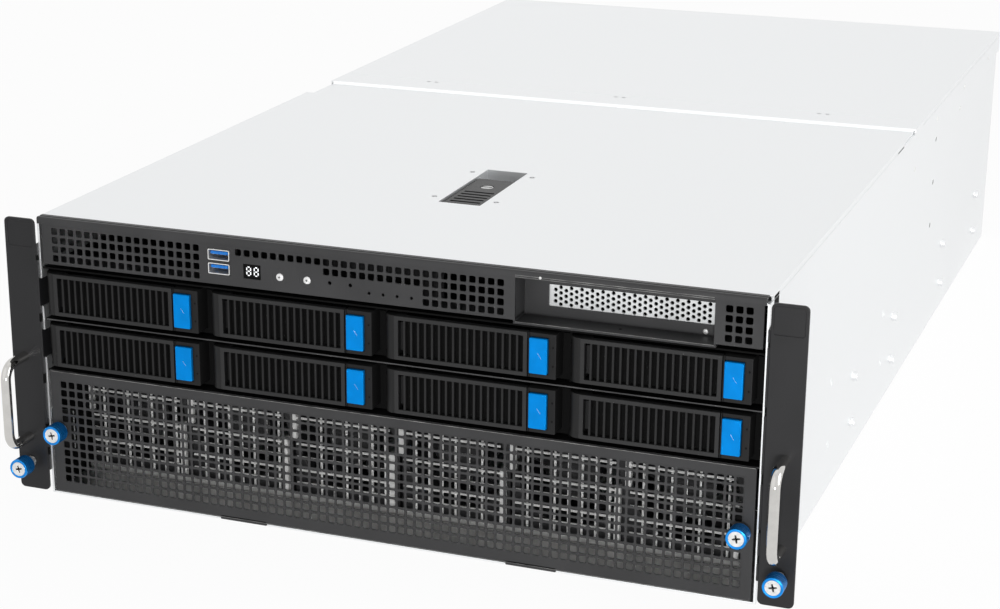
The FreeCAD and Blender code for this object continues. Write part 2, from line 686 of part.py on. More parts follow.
def tray(column, row):
    """Open-topped carrier with the fixed end of its face and the lugs that hold the lever."""
    left, pivot_x, seam, right = tray_face(column)
    x0 = bay_x(column) - TRAY_W / 2
    x1 = bay_x(column) + TRAY_W / 2
    z0 = shelf_z(row) + FIT_GAP
    face_z0 = face_bottom(row)
    middle = face_z0 + FACE_H / 2
    back = TRAY_Y0 + TRAY_L
    pan = block(x0, x1, TRAY_Y0, back, z0, z0 + TRAY_FLOOR)
    rails = [block(x0, x0 + TRAY_RAIL, TRAY_Y0, back, z0, z0 + TRAY_RAIL_H),
             block(x1 - TRAY_RAIL, x1, TRAY_Y0, back, z0, z0 + TRAY_RAIL_H)]
    front = block(x0, x1, TRAY_Y0, TRAY_Y0 + TRAY_RAIL, z0, z0 + TRAY_FRONT_H)
    latch = block(seam, right, -FACE_PROUD, TRAY_Y0, face_z0, face_z0 + FACE_H)
    lugs = []
    bores = []
    for side in (-1, 1):
        z = middle + side * LUG_SPREAD - LUG_T / 2
        lugs.append(rod(LUG_R, LUG_T, vec(pivot_x, PIVOT_Y, z), vec(0, 0, 1)))
        lugs.append(block(pivot_x - LUG_R, pivot_x + LUG_R, PIVOT_Y, TRAY_Y0, z, z + LUG_T))
        bores.append(rod(HINGE_R + HINGE_PLAY, LUG_T + 2, vec(pivot_x, PIVOT_Y, z - 1), vec(0, 0, 1)))
    pocket_x = seam + LATCH_WALL
    pocket = block(pocket_x, pocket_x + RELEASE_W + 2 * FIT_GAP, -FACE_PROUD - 1,
                   RELEASE_L + RELEASE_TRAVEL + FIT_GAP - FACE_PROUD - RELEASE_PROUD,
                   middle - RELEASE_H / 2 - FIT_GAP, middle + RELEASE_H / 2 + FIT_GAP)
    window = block(pivot_x + 2 * KNUCKLE_R, seam - KNUCKLE_R, TRAY_Y0 - 1, TRAY_Y0 + TRAY_RAIL + 1,
                   z0 + 2 * FACE_LIFT, z0 + TRAY_FRONT_H - FACE_LIFT)
    return without(fused(pan, front, latch, *rails, *lugs), [pocket, window] + bores)


def tray_lever(column, row):
    """Slotted lever: rounded knuckle at the left end, pin through the two lugs of the tray."""
    left, pivot_x, seam, right = tray_face(column)
    z0 = face_bottom(row)
    z1 = z0 + FACE_H
    middle = (z0 + z1) / 2
    end = seam - SEAM
    up = vec(0, 0, 1)
    plate = block(pivot_x, end, -FACE_PROUD, LEVER_T - FACE_PROUD, z0, z1)
    knuckle = rod(KNUCKLE_R, FACE_H, vec(pivot_x, PIVOT_Y, z0), up)
    count = int((end - LEVER_RIM - pivot_x) / SLOT_PITCH)
    first = end - LEVER_RIM - SLOT_W
    slots = [block(first - index * SLOT_PITCH, first - index * SLOT_PITCH + SLOT_W, -FACE_PROUD - 1,
                   LEVER_T - FACE_PROUD + SEAM, z0 + LEVER_RIM, z1 - LEVER_RIM) for index in range(count)]
    gap = LUG_T / 2 + FIT_GAP
    clear = LUG_R + SEAM
    for side in (-1, 1):
        z = middle + side * LUG_SPREAD
        slots.append(block(left - 1, pivot_x + KNUCKLE_R + 1, PIVOT_Y - clear, TRAY_Y0, z - gap, z + gap))
    pin = rod(HINGE_R, FACE_H - LEVER_RIM, vec(pivot_x, PIVOT_Y, z0 + LEVER_RIM / 2), up)
    return fused(without(fused(plate, knuckle), slots), pin)


def tray_button(column, row):
    left, pivot_x, seam, right = tray_face(column)
    middle = face_bottom(row) + FACE_H / 2
    x0 = seam + LATCH_WALL + FIT_GAP
    y0 = -FACE_PROUD - RELEASE_PROUD
    return block(x0, x0 + RELEASE_W, y0, y0 + RELEASE_L, middle - RELEASE_H / 2, middle + RELEASE_H / 2)


def fan_panel():
    """Perforated panel over the fans, hooked into the floor by two tabs."""
    cell = GRILLE_CELLS * HOLE_PITCH
    opening = cell - (HOLE_PITCH - HOLE)
    height = FAN_PANEL_TOP - FAN_PANEL_FOOT
    columns = int((2 * (PANEL_SCREW_X - SCREW_R - SCREW_PLAY) - HOLE_MARGIN / 2) / cell)
    rows = int((height - HOLE_MARGIN) / cell)
    middle = (FAN_PANEL_TOP + FAN_PANEL_FOOT) / 2
    holes = []
    for column in range(columns):
        for row in range(rows):
            x = (column - (columns - 1) / 2) * cell
            z = middle + (row - (rows - 1) / 2) * cell
            holes.append(square_hole(x, z, opening, 0))
    for x in (-PANEL_SCREW_X, PANEL_SCREW_X):
        holes.append(circle_xz(x, PANEL_SCREW_Z, SCREW_R + SCREW_PLAY, 0))
    outline = rectangle_xz(-PANEL_HALF, PANEL_HALF, FAN_PANEL_FOOT, FAN_PANEL_TOP, 0)
    sheet = pierced_sheet(outline, holes, 0, SHEET)
    tabs = [block(x - TAB_W / 2, x + TAB_W / 2, 0, SHEET, 0, FAN_PANEL_FOOT + SHEET) for x in (-TAB_X, TAB_X)]
    return fused(sheet, *tabs)


def fan_x(index):
    return -INNER + (index + 0.5) * FAN_PITCH


def fan_housing(index):
    """Square housing with a round duct; struts at the back carry the motor boss."""
    x = fan_x(index)
    back = FAN_SETBACK + FAN_D
    inward = vec(0, 1, 0)
    shell = block(x - FAN_W / 2, x + FAN_W / 2, FAN_SETBACK, back, SHEET, SHEET + FAN_H)
    shell = shell.cut(rod(FAN_BORE_R, FAN_D + 2, vec(x, FAN_SETBACK - 1, FAN_Z), inward))
    boss = rod(HUB_R, MOTOR_L, vec(x, back - MOTOR_L, FAN_Z), inward)
    reach = FAN_BORE_R + FAN_RIM / 2
    struts = [block(x - reach, x + reach, back - STRUT_W, back, FAN_Z - STRUT_W / 2, FAN_Z + STRUT_W / 2),
              block(x - STRUT_W / 2, x + STRUT_W / 2, back - STRUT_W, back, FAN_Z - reach, FAN_Z + reach)]
    bearing = rod(SHAFT_R + SHAFT_PLAY, MOTOR_L + 2, vec(x, back - MOTOR_L - 1, FAN_Z), inward)
    return fused(shell, boss, *struts).cut(bearing)


def fan_rotor(index):
    """Hub, shaft and pitched blades, turning about y."""
    x = fan_x(index)
    front = FAN_SETBACK + FAN_D - MOTOR_L - FIT_GAP - HUB_L
    centre = vec(x, front + HUB_L / 2, FAN_Z)
    inward = vec(0, 1, 0)
    hub = rod(HUB_R, HUB_L, vec(x, front, FAN_Z), inward)
    shaft = rod(SHAFT_R, HUB_L + FIT_GAP + MOTOR_L, vec(x, front, FAN_Z), inward)
    root = HUB_R / 2
    tip = math.sqrt((FAN_BORE_R - BLADE_TIP_GAP) ** 2 - (BLADE_CHORD / 2) ** 2)
    blades = []
    for number in range(BLADES):
        corner = vec(x - BLADE_CHORD / 2, centre.y - BLADE_T / 2, FAN_Z + root)
        blade = Part.makeBox(BLADE_CHORD, BLADE_T, tip - root, corner)
        blade.rotate(centre, vec(0, 0, 1), BLADE_PITCH_DEG)
        blade.rotate(centre, inward, number * 360 / BLADES)
        blades.append(blade)
    return fused(hub, shaft, *blades)


def rack_ear():
    """Right ear: front plate for the rack post and the side flange on the chassis wall."""
    x0 = EAR_OUT
    plate = block(x0, x0 + EAR_W, -EAR_T, 0, EAR_INSET, CHASSIS_H - EAR_INSET)
    outer = [edge for edge in plate.Edges if abs(edge.tangentAt(edge.FirstParameter).y) > 0.9]
    plate = plate.makeFillet(EAR_CORNER, outer)
    flange = block(HALF, x0, -EAR_T, EAR_SIDE_D, EAR_SIDE_Z0, EAR_SIDE_Z1)
    hole = rod(EAR_SCREW_R + SCREW_PLAY, EAR_T + 2, vec(RACK_HOLE_X, -EAR_T - 1, EAR_SCREW_Z), vec(0, 1, 0))
    return fused(plate, flange).cut(hole)


def handle():
    """Right handle: round bar bent twice, legs standing on the ear."""
    y0 = -EAR_T
    y1 = y0 - HANDLE_REACH
    corner_y = y1 + HANDLE_BEND
    leg = HANDLE_REACH - HANDLE_BEND
    forward = vec(0, -1, 0)
    pieces = []
    for z, side in ((HANDLE_Z0, 1), (HANDLE_Z1, -1)):
        pieces.append(rod(HANDLE_R, leg, vec(HANDLE_X, y0, z), forward))
        section = Part.Face(circle_xz(HANDLE_X, z, HANDLE_R, corner_y))
        centre = vec(HANDLE_X, corner_y, z + side * HANDLE_BEND)
        pieces.append(section.revolve(centre, vec(-side, 0, 0), 90))
    bar_z = HANDLE_Z0 + HANDLE_BEND
    pieces.append(rod(HANDLE_R, HANDLE_Z1 - HANDLE_BEND - bar_z, vec(HANDLE_X, y1, bar_z), vec(0, 0, 1)))
    return fused(*pieces)


def heat_sink(x, y):
    """Finned cooler drawn as one comb profile."""
    pitch = (SINK_W - SINK_FIN_T) / (SINK_FINS - 1)
    z0 = BOARD_TOP
    base = z0 + SINK_BASE
    points = [(x - SINK_W / 2, z0), (x + SINK_W / 2, z0)]
    for index in reversed(range(SINK_FINS)):
        fin = x - SINK_W / 2 + index * pitch
        points += [(fin + SINK_FIN_T, base), (fin + SINK_FIN_T, z0 + SINK_H), (fin, z0 + SINK_H), (fin, base)]
    points = [points[0], points[1]] + points[3:-1]
    return Part.Face(polygon_xz(points, y)).extrude(vec(0, SINK_L, 0))


def motherboard():
    """Main board on standoffs, two heat sinks and the memory beside them."""
    y0 = CAGE_END + BOARD_T + MAIN_BOARD_GAP
    y1 = SUPPLY_Y0 - MAIN_BOARD_GAP
    half = INNER - MAIN_BOARD_EDGE
    z0 = SHEET + MAIN_BOARD_LIFT
    pieces = [block(-half, half, y0, y1, z0, z0 + BOARD_T)]
    for x in (-half, half - STANDOFF_W):
        for y in (y0, y1 - STANDOFF_W):
            pieces.append(block(x, x + STANDOFF_W, y, y + STANDOFF_W, SHEET, z0))
    middle = (y0 + y1) / 2
    for x in (-SINK_X, SINK_X):
        pieces.append(heat_sink(x, middle - SINK_L / 2))
        for side in (-1, 1):
            for index in range(MEMORY_PER_SIDE):
                left = x + side * (SINK_W / 2 + (index + 1) * MEMORY_PITCH) - MEMORY_T / 2
                pieces.append(block(left, left + MEMORY_T, middle - MEMORY_L / 2, middle + MEMORY_L / 2,
                                    BOARD_TOP, BOARD_TOP + MEMORY_H))
    return Part.makeCompound(pieces)


def panel_screw(x):
    shank = ((SCREW_R, SCREW_REACH + SHEET + FIT_GAP),)
    return thumbscrew(x, PANEL_SCREW_Z, -FIT_GAP, PANEL_COLLAR, shank)


def ear_screw(x):
    """Captive screw: its neck lies in the ear and its thread behind it."""
    shank = ((EAR_NECK_R, EAR_T + 2 * FIT_GAP), (EAR_SCREW_R, 2 * SCREW_REACH))
    return thumbscrew(x, EAR_SCREW_Z, -EAR_T - FIT_GAP, EAR_COLLAR, shank)


def cover_screw(x):
    shank = ((SCREW_R, HOOD_D + SCREW_REACH),)
    return thumbscrew(x, COVER_SCREW_Z, HOOD_END + FIT_GAP, COVER_COLLAR, shank, -1.0)


def pair(shape):
    return Part.makeCompound([shape, mirrored(shape)])


def assembly():
    """Every node of the server, by name."""
    nodes = {
        "chassis_floor": chassis_floor(),
        "left_side_wall": left_side_wall(),
        "right_side_wall": side_wall(),
        "rear_panel": rear_panel(),
        "rear_fittings": rear_fittings(),
        "top_bridge": top_bridge(),
        "front_panel": front_panel(),
        "slot_cover": slot_cover(),
        "drive_cage": drive_cage(),
        "drive_backplane": drive_backplane(),
        "rack_ears": pair(rack_ear()),
        "handles": pair(handle()),
        "front_io": front_io(),
        "fan_housings": Part.makeCompound([fan_housing(index) for index in range(FAN_COUNT)]),
        "motherboard": motherboard(),
        "front_cover": front_cover(),
        "cover_lever": cover_lever(),
        "lever_lock": lever_lock(),
        "rear_cover": rear_cover(),
        "fan_panel": fan_panel(),
        "power_button": push_button(BUTTON_OFFSETS[0]),
        "id_button": push_button(BUTTON_OFFSETS[1]),
    }
    for side, name in ((-1, "left"), (1, "right")):
        nodes["panel_screw_" + name] = panel_screw(side * PANEL_SCREW_X)
        nodes["ear_screw_" + name] = ear_screw(side * RACK_HOLE_X)
        nodes["cover_screw_" + name] = cover_screw(side * COVER_SCREW_X)
    for index in range(FAN_COUNT):
        nodes["fan_rotor_%d" % (index + 1)] = fan_rotor(index)
    for index in range(SUPPLY_COUNT):
        nodes["psu_%d" % (index + 1)] = power_supply(index)
    for row in range(BAY_ROWS):
        for column in range(BAY_COLUMNS):
            number = row * BAY_COLUMNS + column + 1
            nodes["tray_%d" % number] = tray(column, row)
            nodes["tray_lever_%d" % number] = tray_lever(column, row)
            nodes["tray_button_%d" % number] = tray_button(column, row)
    return nodes


def main():
    os.makedirs("parts", exist_ok=True)
    to_origin = vec(0, -CHASSIS_D / 2, 0)
    for name, shape in assembly().items():
        shape.translate(to_origin)
        shape.exportStep("parts/%s.step" % name)


main()
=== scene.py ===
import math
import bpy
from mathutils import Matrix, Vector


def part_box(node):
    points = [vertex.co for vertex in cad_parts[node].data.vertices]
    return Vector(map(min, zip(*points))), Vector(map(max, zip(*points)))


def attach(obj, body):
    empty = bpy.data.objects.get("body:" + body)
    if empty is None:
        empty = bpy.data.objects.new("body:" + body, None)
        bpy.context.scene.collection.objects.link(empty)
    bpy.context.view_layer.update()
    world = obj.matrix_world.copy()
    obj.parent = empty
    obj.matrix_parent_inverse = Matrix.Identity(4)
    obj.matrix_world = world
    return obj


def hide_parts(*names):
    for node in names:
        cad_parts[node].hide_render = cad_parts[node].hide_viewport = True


bl_info = {
    "name": "Rack Server Looks",
    "version": (1, 0, 0),
    "blender": (4, 5, 0),
    "location": "3D View > Sidebar > Server",
    "description": "Dresses the packed rack server with sheet metal, trays, fans and screws",
    "category": "Object",
}

import bpy
from mathutils import Matrix, Vector

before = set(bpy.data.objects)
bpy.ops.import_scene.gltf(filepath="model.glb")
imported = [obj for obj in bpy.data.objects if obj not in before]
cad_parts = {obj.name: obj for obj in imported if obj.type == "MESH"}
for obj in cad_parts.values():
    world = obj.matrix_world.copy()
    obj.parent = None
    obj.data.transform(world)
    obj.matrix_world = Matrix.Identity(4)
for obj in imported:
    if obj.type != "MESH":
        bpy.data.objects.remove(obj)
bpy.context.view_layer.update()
MM = 0.001
FRONT_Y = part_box("fan_panel")[0].y / MM


def box_mm(node):
    """Corners of a node in millimetres, with y counted from the front panel."""
    low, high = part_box(node)
    shift = Vector((0, FRONT_Y, 0))
    return low / MM - shift, high / MM - shift


def middle_mm(node):
    """Centre of a node in millimetres, with y counted from the front panel."""
    low, high = box_mm(node)
    return (low + high) / 2


PANEL_LOW, PANEL_HIGH = box_mm("fan_panel")
SHEET = PANEL_HIGH.y - PANEL_LOW.y
PANEL_LEFT, PANEL_RIGHT = -PANEL_HIGH.x, PANEL_HIGH.x
CHASSIS_TOP = box_mm("front_cover")[1].z
INNER = box_mm("chassis_floor")[1].x
HALF = INNER + SHEET
DEPTH = box_mm("chassis_floor")[1].y


# Settings

def colour_prop(name, text, value):
    return bpy.props.FloatVectorProperty(name=name, description=text, default=value, size=3, min=0, max=1,
                                         subtype="COLOR")


def length_prop(name, text, value):
    return bpy.props.FloatProperty(name=name, description=text, default=value * MM, min=0, unit="LENGTH",
                                   subtype="DISTANCE", precision=5)


def power_prop(name, text, value):
    return bpy.props.FloatProperty(name=name, description=text, default=value, min=0, unit="POWER")


class ServerFinish(bpy.types.PropertyGroup):
    """Colours of the finishes."""
    plate: colour_prop("Plated sheet", "Zinc plated steel of the case", (0.845, 0.86, 0.865))
    paint: colour_prop("Black paint", "Satin paint of the ears", (0.0120, 0.0120, 0.0131))
    panel: colour_prop("Panel paint", "Satin paint of the punched front panels", (0.036, 0.036, 0.0372))
    tray: colour_prop("Tray plastic", "Moulded plastic of trays and levers", (0.0078, 0.0078, 0.0081))
    release: colour_prop("Release blue", "Plastic of the release buttons", (0.0, 0.235, 0.69))
    knob: colour_prop("Knob blue", "Anodised thumbscrew knobs", (0.0, 0.25, 0.74))
    guard: colour_prop("Guard zinc", "Zinc plated wire of the fan guards", (0.93, 0.93, 0.92))
    steel: colour_prop("Bright steel", "Screws and sockets", (0.78, 0.78, 0.77))
    chrome: colour_prop("Chrome", "Polished handles", (0.60, 0.59, 0.57))
    cap: colour_prop("White caps", "Push buttons and the lever's lock", (0.82, 0.82, 0.82))
    board: colour_prop("Circuit board", "Solder mask of the boards", (0.012, 0.075, 0.03))


class ServerSizes(bpy.types.PropertyGroup):
    """Sizes of the fine detail."""
    hole: length_prop("Hole", "Width of a square hole in the control panel", 3.9)
    fan_hole: length_prop("Fan panel hole", "Width of a square hole in the fan panel", 4.1)
    fan_sheet: length_prop("Fan panel field", "Thickness of the punched field of the fan panel", 0.8)
    pitch: length_prop("Hole pitch", "Distance between two square holes", 5.48)
    hole_corner: length_prop("Hole corner", "Corner radius of a square hole", 0.8)
    rim: length_prop("Rim", "Rounding of punched and folded edges", 0.15)
    vent_hole: length_prop("Vent hole", "Radius of a round hole in the slot cover", 1.05)
    guard_pitch: length_prop("Guard pitch", "Mesh width of the fan guards", 8.35)
    guard_wire: length_prop("Guard wire", "Radius of a wire of the fan guards", 0.75)
    knurl: bpy.props.IntProperty(name="Knurl", description="Ridges round a thumbscrew", default=48, min=12)


class ServerStage(bpy.types.PropertyGroup):
    """Light and floor."""
    floor: colour_prop("Floor", "Colour of the floor", (0.92, 0.92, 0.92))
    world: bpy.props.FloatProperty(name="World", description="Strength of the even light", default=0.42,
                                   min=0)
    key: power_prop("Key lamp", "Power of the lamp above", 1.5)
    side: power_prop("Side lamp", "Power of the lamp on the right", 42.0)
    back: power_prop("Back lamp", "Power of the lamp behind", 0.6)
    front: power_prop("Front lamp", "Power of the lamp in front", 4.5)
    fill: power_prop("Fill lamp", "Power of the low lamp in front", 9.0)


SETTINGS = {"server_finish": ServerFinish, "server_sizes": ServerSizes, "server_stage": ServerStage}


# Materials

ACROSS, BACK, UP = range(3)
NOISE_LOW, NOISE_HIGH = 0.3, 0.7
MIX_FACTOR, MIX_FIRST, MIX_SECOND, MIX_RESULT = 0, 6, 7, 2
BRICK_LINE = 1
WHITE = (1, 1, 1, 1)


class Wire:
    """A socket of a node tree; arithmetic on it adds Math nodes."""

    def __init__(self, finish, socket):
        self.finish = finish
        self.socket = socket

    def maths(self, operation, *values):
        return self.finish.node("ShaderNodeMath", {"operation": operation}, dict(enumerate(values)))

    def __add__(self, other):
        return self.maths("ADD", self, other)

    __radd__ = __add__

    def __mul__(self, other):
        return self.maths("MULTIPLY", self, other)

    __rmul__ = __mul__

    def __sub__(self, other):
        return self.maths("SUBTRACT", self, other)

    def __rsub__(self, other):
        return self.maths("SUBTRACT", other, self)

    def __gt__(self, other):
        return self.maths("GREATER_THAN", self, other)

    def __lt__(self, other):
        return self.maths("LESS_THAN", self, other)

    def above(self, other):
        return self.maths("MAXIMUM", self, other)

    def distance(self):
        return self.maths("ABSOLUTE", self)


class Finish:
    """The node tree of a material or of the world."""

    def __init__(self, owner, output="ShaderNodeOutputMaterial"):
        owner.use_nodes = True
        self.tree = owner.node_tree
        self.tree.nodes.clear()
        self.output = self.tree.nodes.new(output)

    def node(self, kind, choices=None, sockets=None, out=0):
        """Adds a node: its settings first, then the values or links of its sockets."""
        made = self.tree.nodes.new(kind)
        for key, value in (choices or {}).items():
            setattr(made, key, value)
        for key, value in (sockets or {}).items():
            if isinstance(value, Wire):
                self.tree.links.new(value.socket, made.inputs[key])
            else:
                made.inputs[key].default_value = value
        return Wire(self, made.outputs[out])

    def part(self, vector, axis):
        return self.node("ShaderNodeSeparateXYZ", None, {0: vector}, out=axis)

    def share(self, axis):
        """Place in the piece's own box along one axis, from 0 to 1."""
        return self.part(self.node("ShaderNodeTexCoord", out="Generated"), axis)

    def place(self, scale=(1, 1, 1)):
        """Object coordinates in millimetres, stretched by scale."""
        where = self.node("ShaderNodeTexCoord", out="Object")
        factors = tuple(part / MM for part in scale)
        return self.node("ShaderNodeVectorMath", {"operation": "MULTIPLY"}, {0: where, 1: factors})

    def noise(self, size, detail=2.0, scale=(1, 1, 1)):
        """Noise whose patches are about size millimetres wide."""
        return self.node("ShaderNodeTexNoise", {"noise_dimensions": "3D"},
                         {"Vector": self.place(scale), "Scale": 1.0 / size, "Detail": detail})

    def blend(self, amount, *colours):
        """Colour between two colours."""
        first, second = (part if isinstance(part, Wire) else (*part[:3], 1.0) for part in colours)
        return self.node("ShaderNodeMix", {"data_type": "RGBA"},
                         {MIX_FACTOR: amount, MIX_FIRST: first, MIX_SECOND: second}, out=MIX_RESULT)

    def spread(self, value, low=0.0, high=1.0):
        """Brings a noise value to low to high."""
        sockets = dict(enumerate((value, NOISE_LOW, NOISE_HIGH, low, high)))
        return self.node("ShaderNodeMapRange", {"clamp": True}, sockets)

    def tone(self, value, colour, low, high):
        """A colour made darker or lighter, from low to high times itself, by a noise value."""
        return self.blend(self.spread(value), rgba(colour, low), rgba(colour, high))

    def grained(self, colour, tones, grain, flow, share, rough):
        """Grain, colour and roughness of a fine grain over soft patches; share is the grain's part."""
        fine, soft = self.noise(grain), self.noise(flow)
        dull = self.spread(fine * share + soft * (1 - share), *rough)
        return fine, self.tone(soft, colour, *tones), dull

    def bump(self, height, strength, distance):
        sockets = {"Strength": strength, "Distance": distance * MM, "Height": height}
        return self.node("ShaderNodeBump", None, sockets)

    def seen(self):
        """1 for rays from the camera, off a gloss or through a clear body, else 0."""
        camera, glossy, through = (self.node("ShaderNodeLightPath", out="Is %s Ray" % kind)
                                   for kind in ("Camera", "Glossy", "Transmission"))
        return camera.above(glossy).above(through)

    def close(self, shader):
        self.tree.links.new(shader.socket, self.output.inputs["Surface"])

    def surface(self, **sockets):
        """Ends the material in a Principled shader."""
        named = {key.replace("_", " ").title().replace("Ior", "IOR"): value for key, value in sockets.items()}
        self.close(self.node("ShaderNodeBsdfPrincipled", None, named))


def rgba(colour, factor=1.0):
    return (*(min(part * factor, 1.0) for part in colour), 1.0)


def patchy(name, shades, size, detail, rough, **constants):
    """Maker of a finish between two shades: a setting with two factors, or two colours.

    Patches of size millimetres vary the colour and, where rough is a range, the roughness.
    """
    def maker(finish, colours):
        patch = finish.noise(size, detail)
        pair = shades
        if isinstance(shades[0], str):
            pair = [rgba(getattr(colours, shades[0]), factor) for factor in shades[1:]]
        roughness = finish.spread(patch, *rough) if isinstance(rough, tuple) else rough
        finish.surface(base_color=finish.blend(finish.spread(patch), *pair), roughness=roughness, **constants)
    maker.__name__ = name
    return maker


def grained(name, setting, tones, grain, flow, share, rough, bump, **constants):
    """Maker of a finely grained finish of one colour."""
    def maker(finish, colours):
        fine, face, dull = finish.grained(getattr(colours, setting), tones, grain, flow, share, rough)
        finish.surface(base_color=face, roughness=dull, normal=finish.bump(fine, *bump), **constants)
    maker.__name__ = name
    return maker


# Powder coat of ears and panels: fine orange peel, soft patches of gloss
POWDER_COAT = (0.86, 1.16), 0.55, 40.0, 0.4, (0.38, 0.50), (0.16, 0.06)
black_paint = grained("black_paint", "paint", *POWDER_COAT, specular_ior_level=0.3)
panel_paint = grained("panel_paint", "panel", *POWDER_COAT, specular_ior_level=0.3)
# Raised border of a tray lever, polished a little by handling, and dark grey plastic of the cover's lever
lever_border = grained("lever_border", "tray", (1.0, 1.4), 0.32, 22.0, 0.5, (0.4, 0.54), (0.2, 0.05),
                       specular_ior_level=0.38)
grip_plastic = grained("grip_plastic", "tray", (1.2, 1.9), 0.4, 16.0, 1.0, (0.4, 0.55), (0.2, 0.05))
# Plate on inner pieces, a little duller, also laid on the shelf behind the front cover as a painted shadow;
# and a painted highlight, plate made brighter along a bend, standing in for the light the bend catches
inner_sheet = patchy("inner_sheet", ("plate", 0.72, 0.86), 30.0, 3.0, (0.36, 0.48), metallic=0.6)
bent_edge = patchy("bent_edge", ("plate", 1.09, 1.15), 12.0, 2.0, (0.2, 0.3), metallic=0.9)
# Black coated sheet of the drive cage, and a painted highlight along the front edge of its shelves
cage_steel = patchy("cage_steel", ("tray", 0.2, 0.4), 18.0, 2.0, (0.7, 0.85), specular_ior_level=0.12)
shelf_edge = patchy("shelf_edge", ((0.03, 0.03, 0.031), (0.07, 0.07, 0.072)), 9.0, 3.0, (0.35, 0.5))
# Painted highlight: lighter colour on edges of the black sheet, standing in for light that the edges catch
paint_wear = patchy("paint_wear", ((0.10, 0.10, 0.10), (0.34, 0.34, 0.33)), 7.0, 3.0, (0.28, 0.42),
                    metallic=0.25)
# Nickel plated steel with small scuffs
bright_steel = patchy("bright_steel", ("steel", 0.9, 1.08), 2.5, 3.0, (0.26, 0.40), metallic=0.75)
# Dull zinc on wire and brackets, and grey zinc of the floor plate in front of the fans
guard_zinc = patchy("guard_zinc", ("guard", 1.0, 1.07), 4.0, 2.0, (0.4, 0.55), metallic=0.1)
floor_zinc = patchy("floor_zinc", ("guard", 0.7, 0.95), 20.0, 3.0, (0.4, 0.55), metallic=0.3)
# Gold flashed contacts
contact_gold = patchy("contact_gold", ((0.62, 0.42, 0.13), (0.76, 0.54, 0.20)), 1.5, 2.0, (0.25, 0.38),
                      metallic=0.9)
# Polished chrome with faint wipe marks
chrome_bar = patchy("chrome_bar", ("chrome", 0.95, 1.04), 6.0, 2.0, (0.05, 0.11), metallic=1.0)
# Glossy white plastic, blue tongue of a data socket, glass filled plastic of the fans
white_cap = patchy("white_cap", ("cap", 0.94, 1.05), 3.0, 2.0, (0.25, 0.36))
socket_blue = patchy("socket_blue", ((0.0, 0.13, 0.50), (0.0, 0.20, 0.68)), 2.0, 1.0, 0.35)
fan_plastic = patchy("fan_plastic", ((0.012, 0.012, 0.013), (0.026, 0.026, 0.028)), 0.6, 2.0, (0.32, 0.46))


def plated_sheet(finish, colours):
    """Zinc plated steel: cloudy spangle, fine rolling lines, faint smudges."""
    cloud = finish.noise(55.0, 3.0)
    lines = finish.noise(1.6, scale=(1.0, 0.02, 1.0))
    smudge = finish.noise(160.0, 1.0)
    base = finish.tone(cloud * 0.75 + lines * 0.25, colours.plate, 0.955, 1.03)
    rough = finish.spread(cloud * 0.5 + smudge * 0.3 + lines * 0.2, 0.36, 0.48)
    finish.surface(base_color=base, metallic=0.25, roughness=rough, normal=finish.bump(lines, 0.05, 0.05))


def moulded(finish, colours):
    """Grain, face colour and roughness of the trays' plastic."""
    return finish.grained(colours.tray, (0.85, 1.25), 0.32, 22.0, 0.5, (0.44, 0.58))


def tray_plastic(finish, colours):
    """Moulded plastic with a fine spark grain; behind the face it is rougher and darkened by painted shade.
    """
    grain, face, rough = moulded(finish, colours)
    # Painted shade: faces behind the front face get a much darker colour
    behind = finish.share(BACK) > 0.004
    finish.surface(base_color=finish.blend(behind, face, rgba(colours.tray, 0.15)),
                   roughness=rough.above(behind * 0.85), specular_ior_level=0.2,
                   normal=finish.bump(grain, 0.22, 0.05))


def lever_plastic(finish, colours):
    """Tray plastic whose slots are rough inside and darkened by painted shade, with painted shade on its left
    end too.
    """
    grain, face, rough = moulded(finish, colours)
    across = finish.share(ACROSS)
    # Painted shade: faces inside the slots get a near black colour
    slot = ((finish.share(UP) - 0.5).distance() < 0.415) * (across > 0.13) * (finish.share(BACK) > 0.035)
    # Painted shade: the left end of the lever is darker
    shaded_end_face = finish.blend(across < 0.085, face, rgba(colours.tray, 0.5))
    finish.surface(base_color=finish.blend(slot, shaded_end_face, rgba(colours.tray, 0.1)),
                   roughness=rough.above(slot * 0.85), specular_ior_level=0.28,
                   normal=finish.bump(grain, 0.22, 0.05))


def release_blue(finish, colours):
    """Coloured plastic with a soft satin skin, and painted shade on its sides."""
    grain, flow = finish.noise(0.4), finish.noise(9.0, 1.0)
    face = finish.tone(flow, colours.release, 0.93, 1.05)
    # Painted shade: the sides behind the front face are half as bright
    finish.surface(base_color=finish.blend(finish.share(BACK) > 0.035, face, rgba(colours.release, 0.5)),
                   roughness=finish.spread(grain, 0.42, 0.52), specular_ior_level=0.06,
                   normal=finish.bump(grain, 0.1, 0.04))


def knob_blue(finish, colours):
    """Blue anodised aluminium with turning marks; painted shade darkens it everywhere but at its two ends
    along the axis, the knurl included.
    """
    turn = finish.noise(0.35, 1.0, (0.05, 1.0, 0.05))
    # Painted shade: the colour is halved everywhere but at the two ends along the screw's axis
    between_ends = (finish.share(BACK) - 0.5).distance() < 0.48
    face = finish.tone(turn, colours.knob, 0.82, 1.15)
    finish.surface(base_color=finish.blend(between_ends, face, rgba(colours.knob, 0.5)), metallic=0.55,
                   roughness=finish.spread(turn, 0.24, 0.36))


def tracks(finish):
    """1 on the copper tracks of a board, else 0."""
    return finish.node("ShaderNodeTexBrick", {"offset": 0.37},
                       {"Vector": finish.place(), "Scale": 0.12, "Mortar Size": 0.035}, out=BRICK_LINE)


def circuit_board(finish, colours):
    """Solder mask with copper tracks under it."""
    dust = finish.noise(14.0)
    mask = finish.tone(dust, colours.board, 0.8, 1.25)
    finish.surface(base_color=finish.blend(tracks(finish), mask, rgba(colours.board, 2.1)),
                   roughness=finish.spread(dust, 0.32, 0.45))


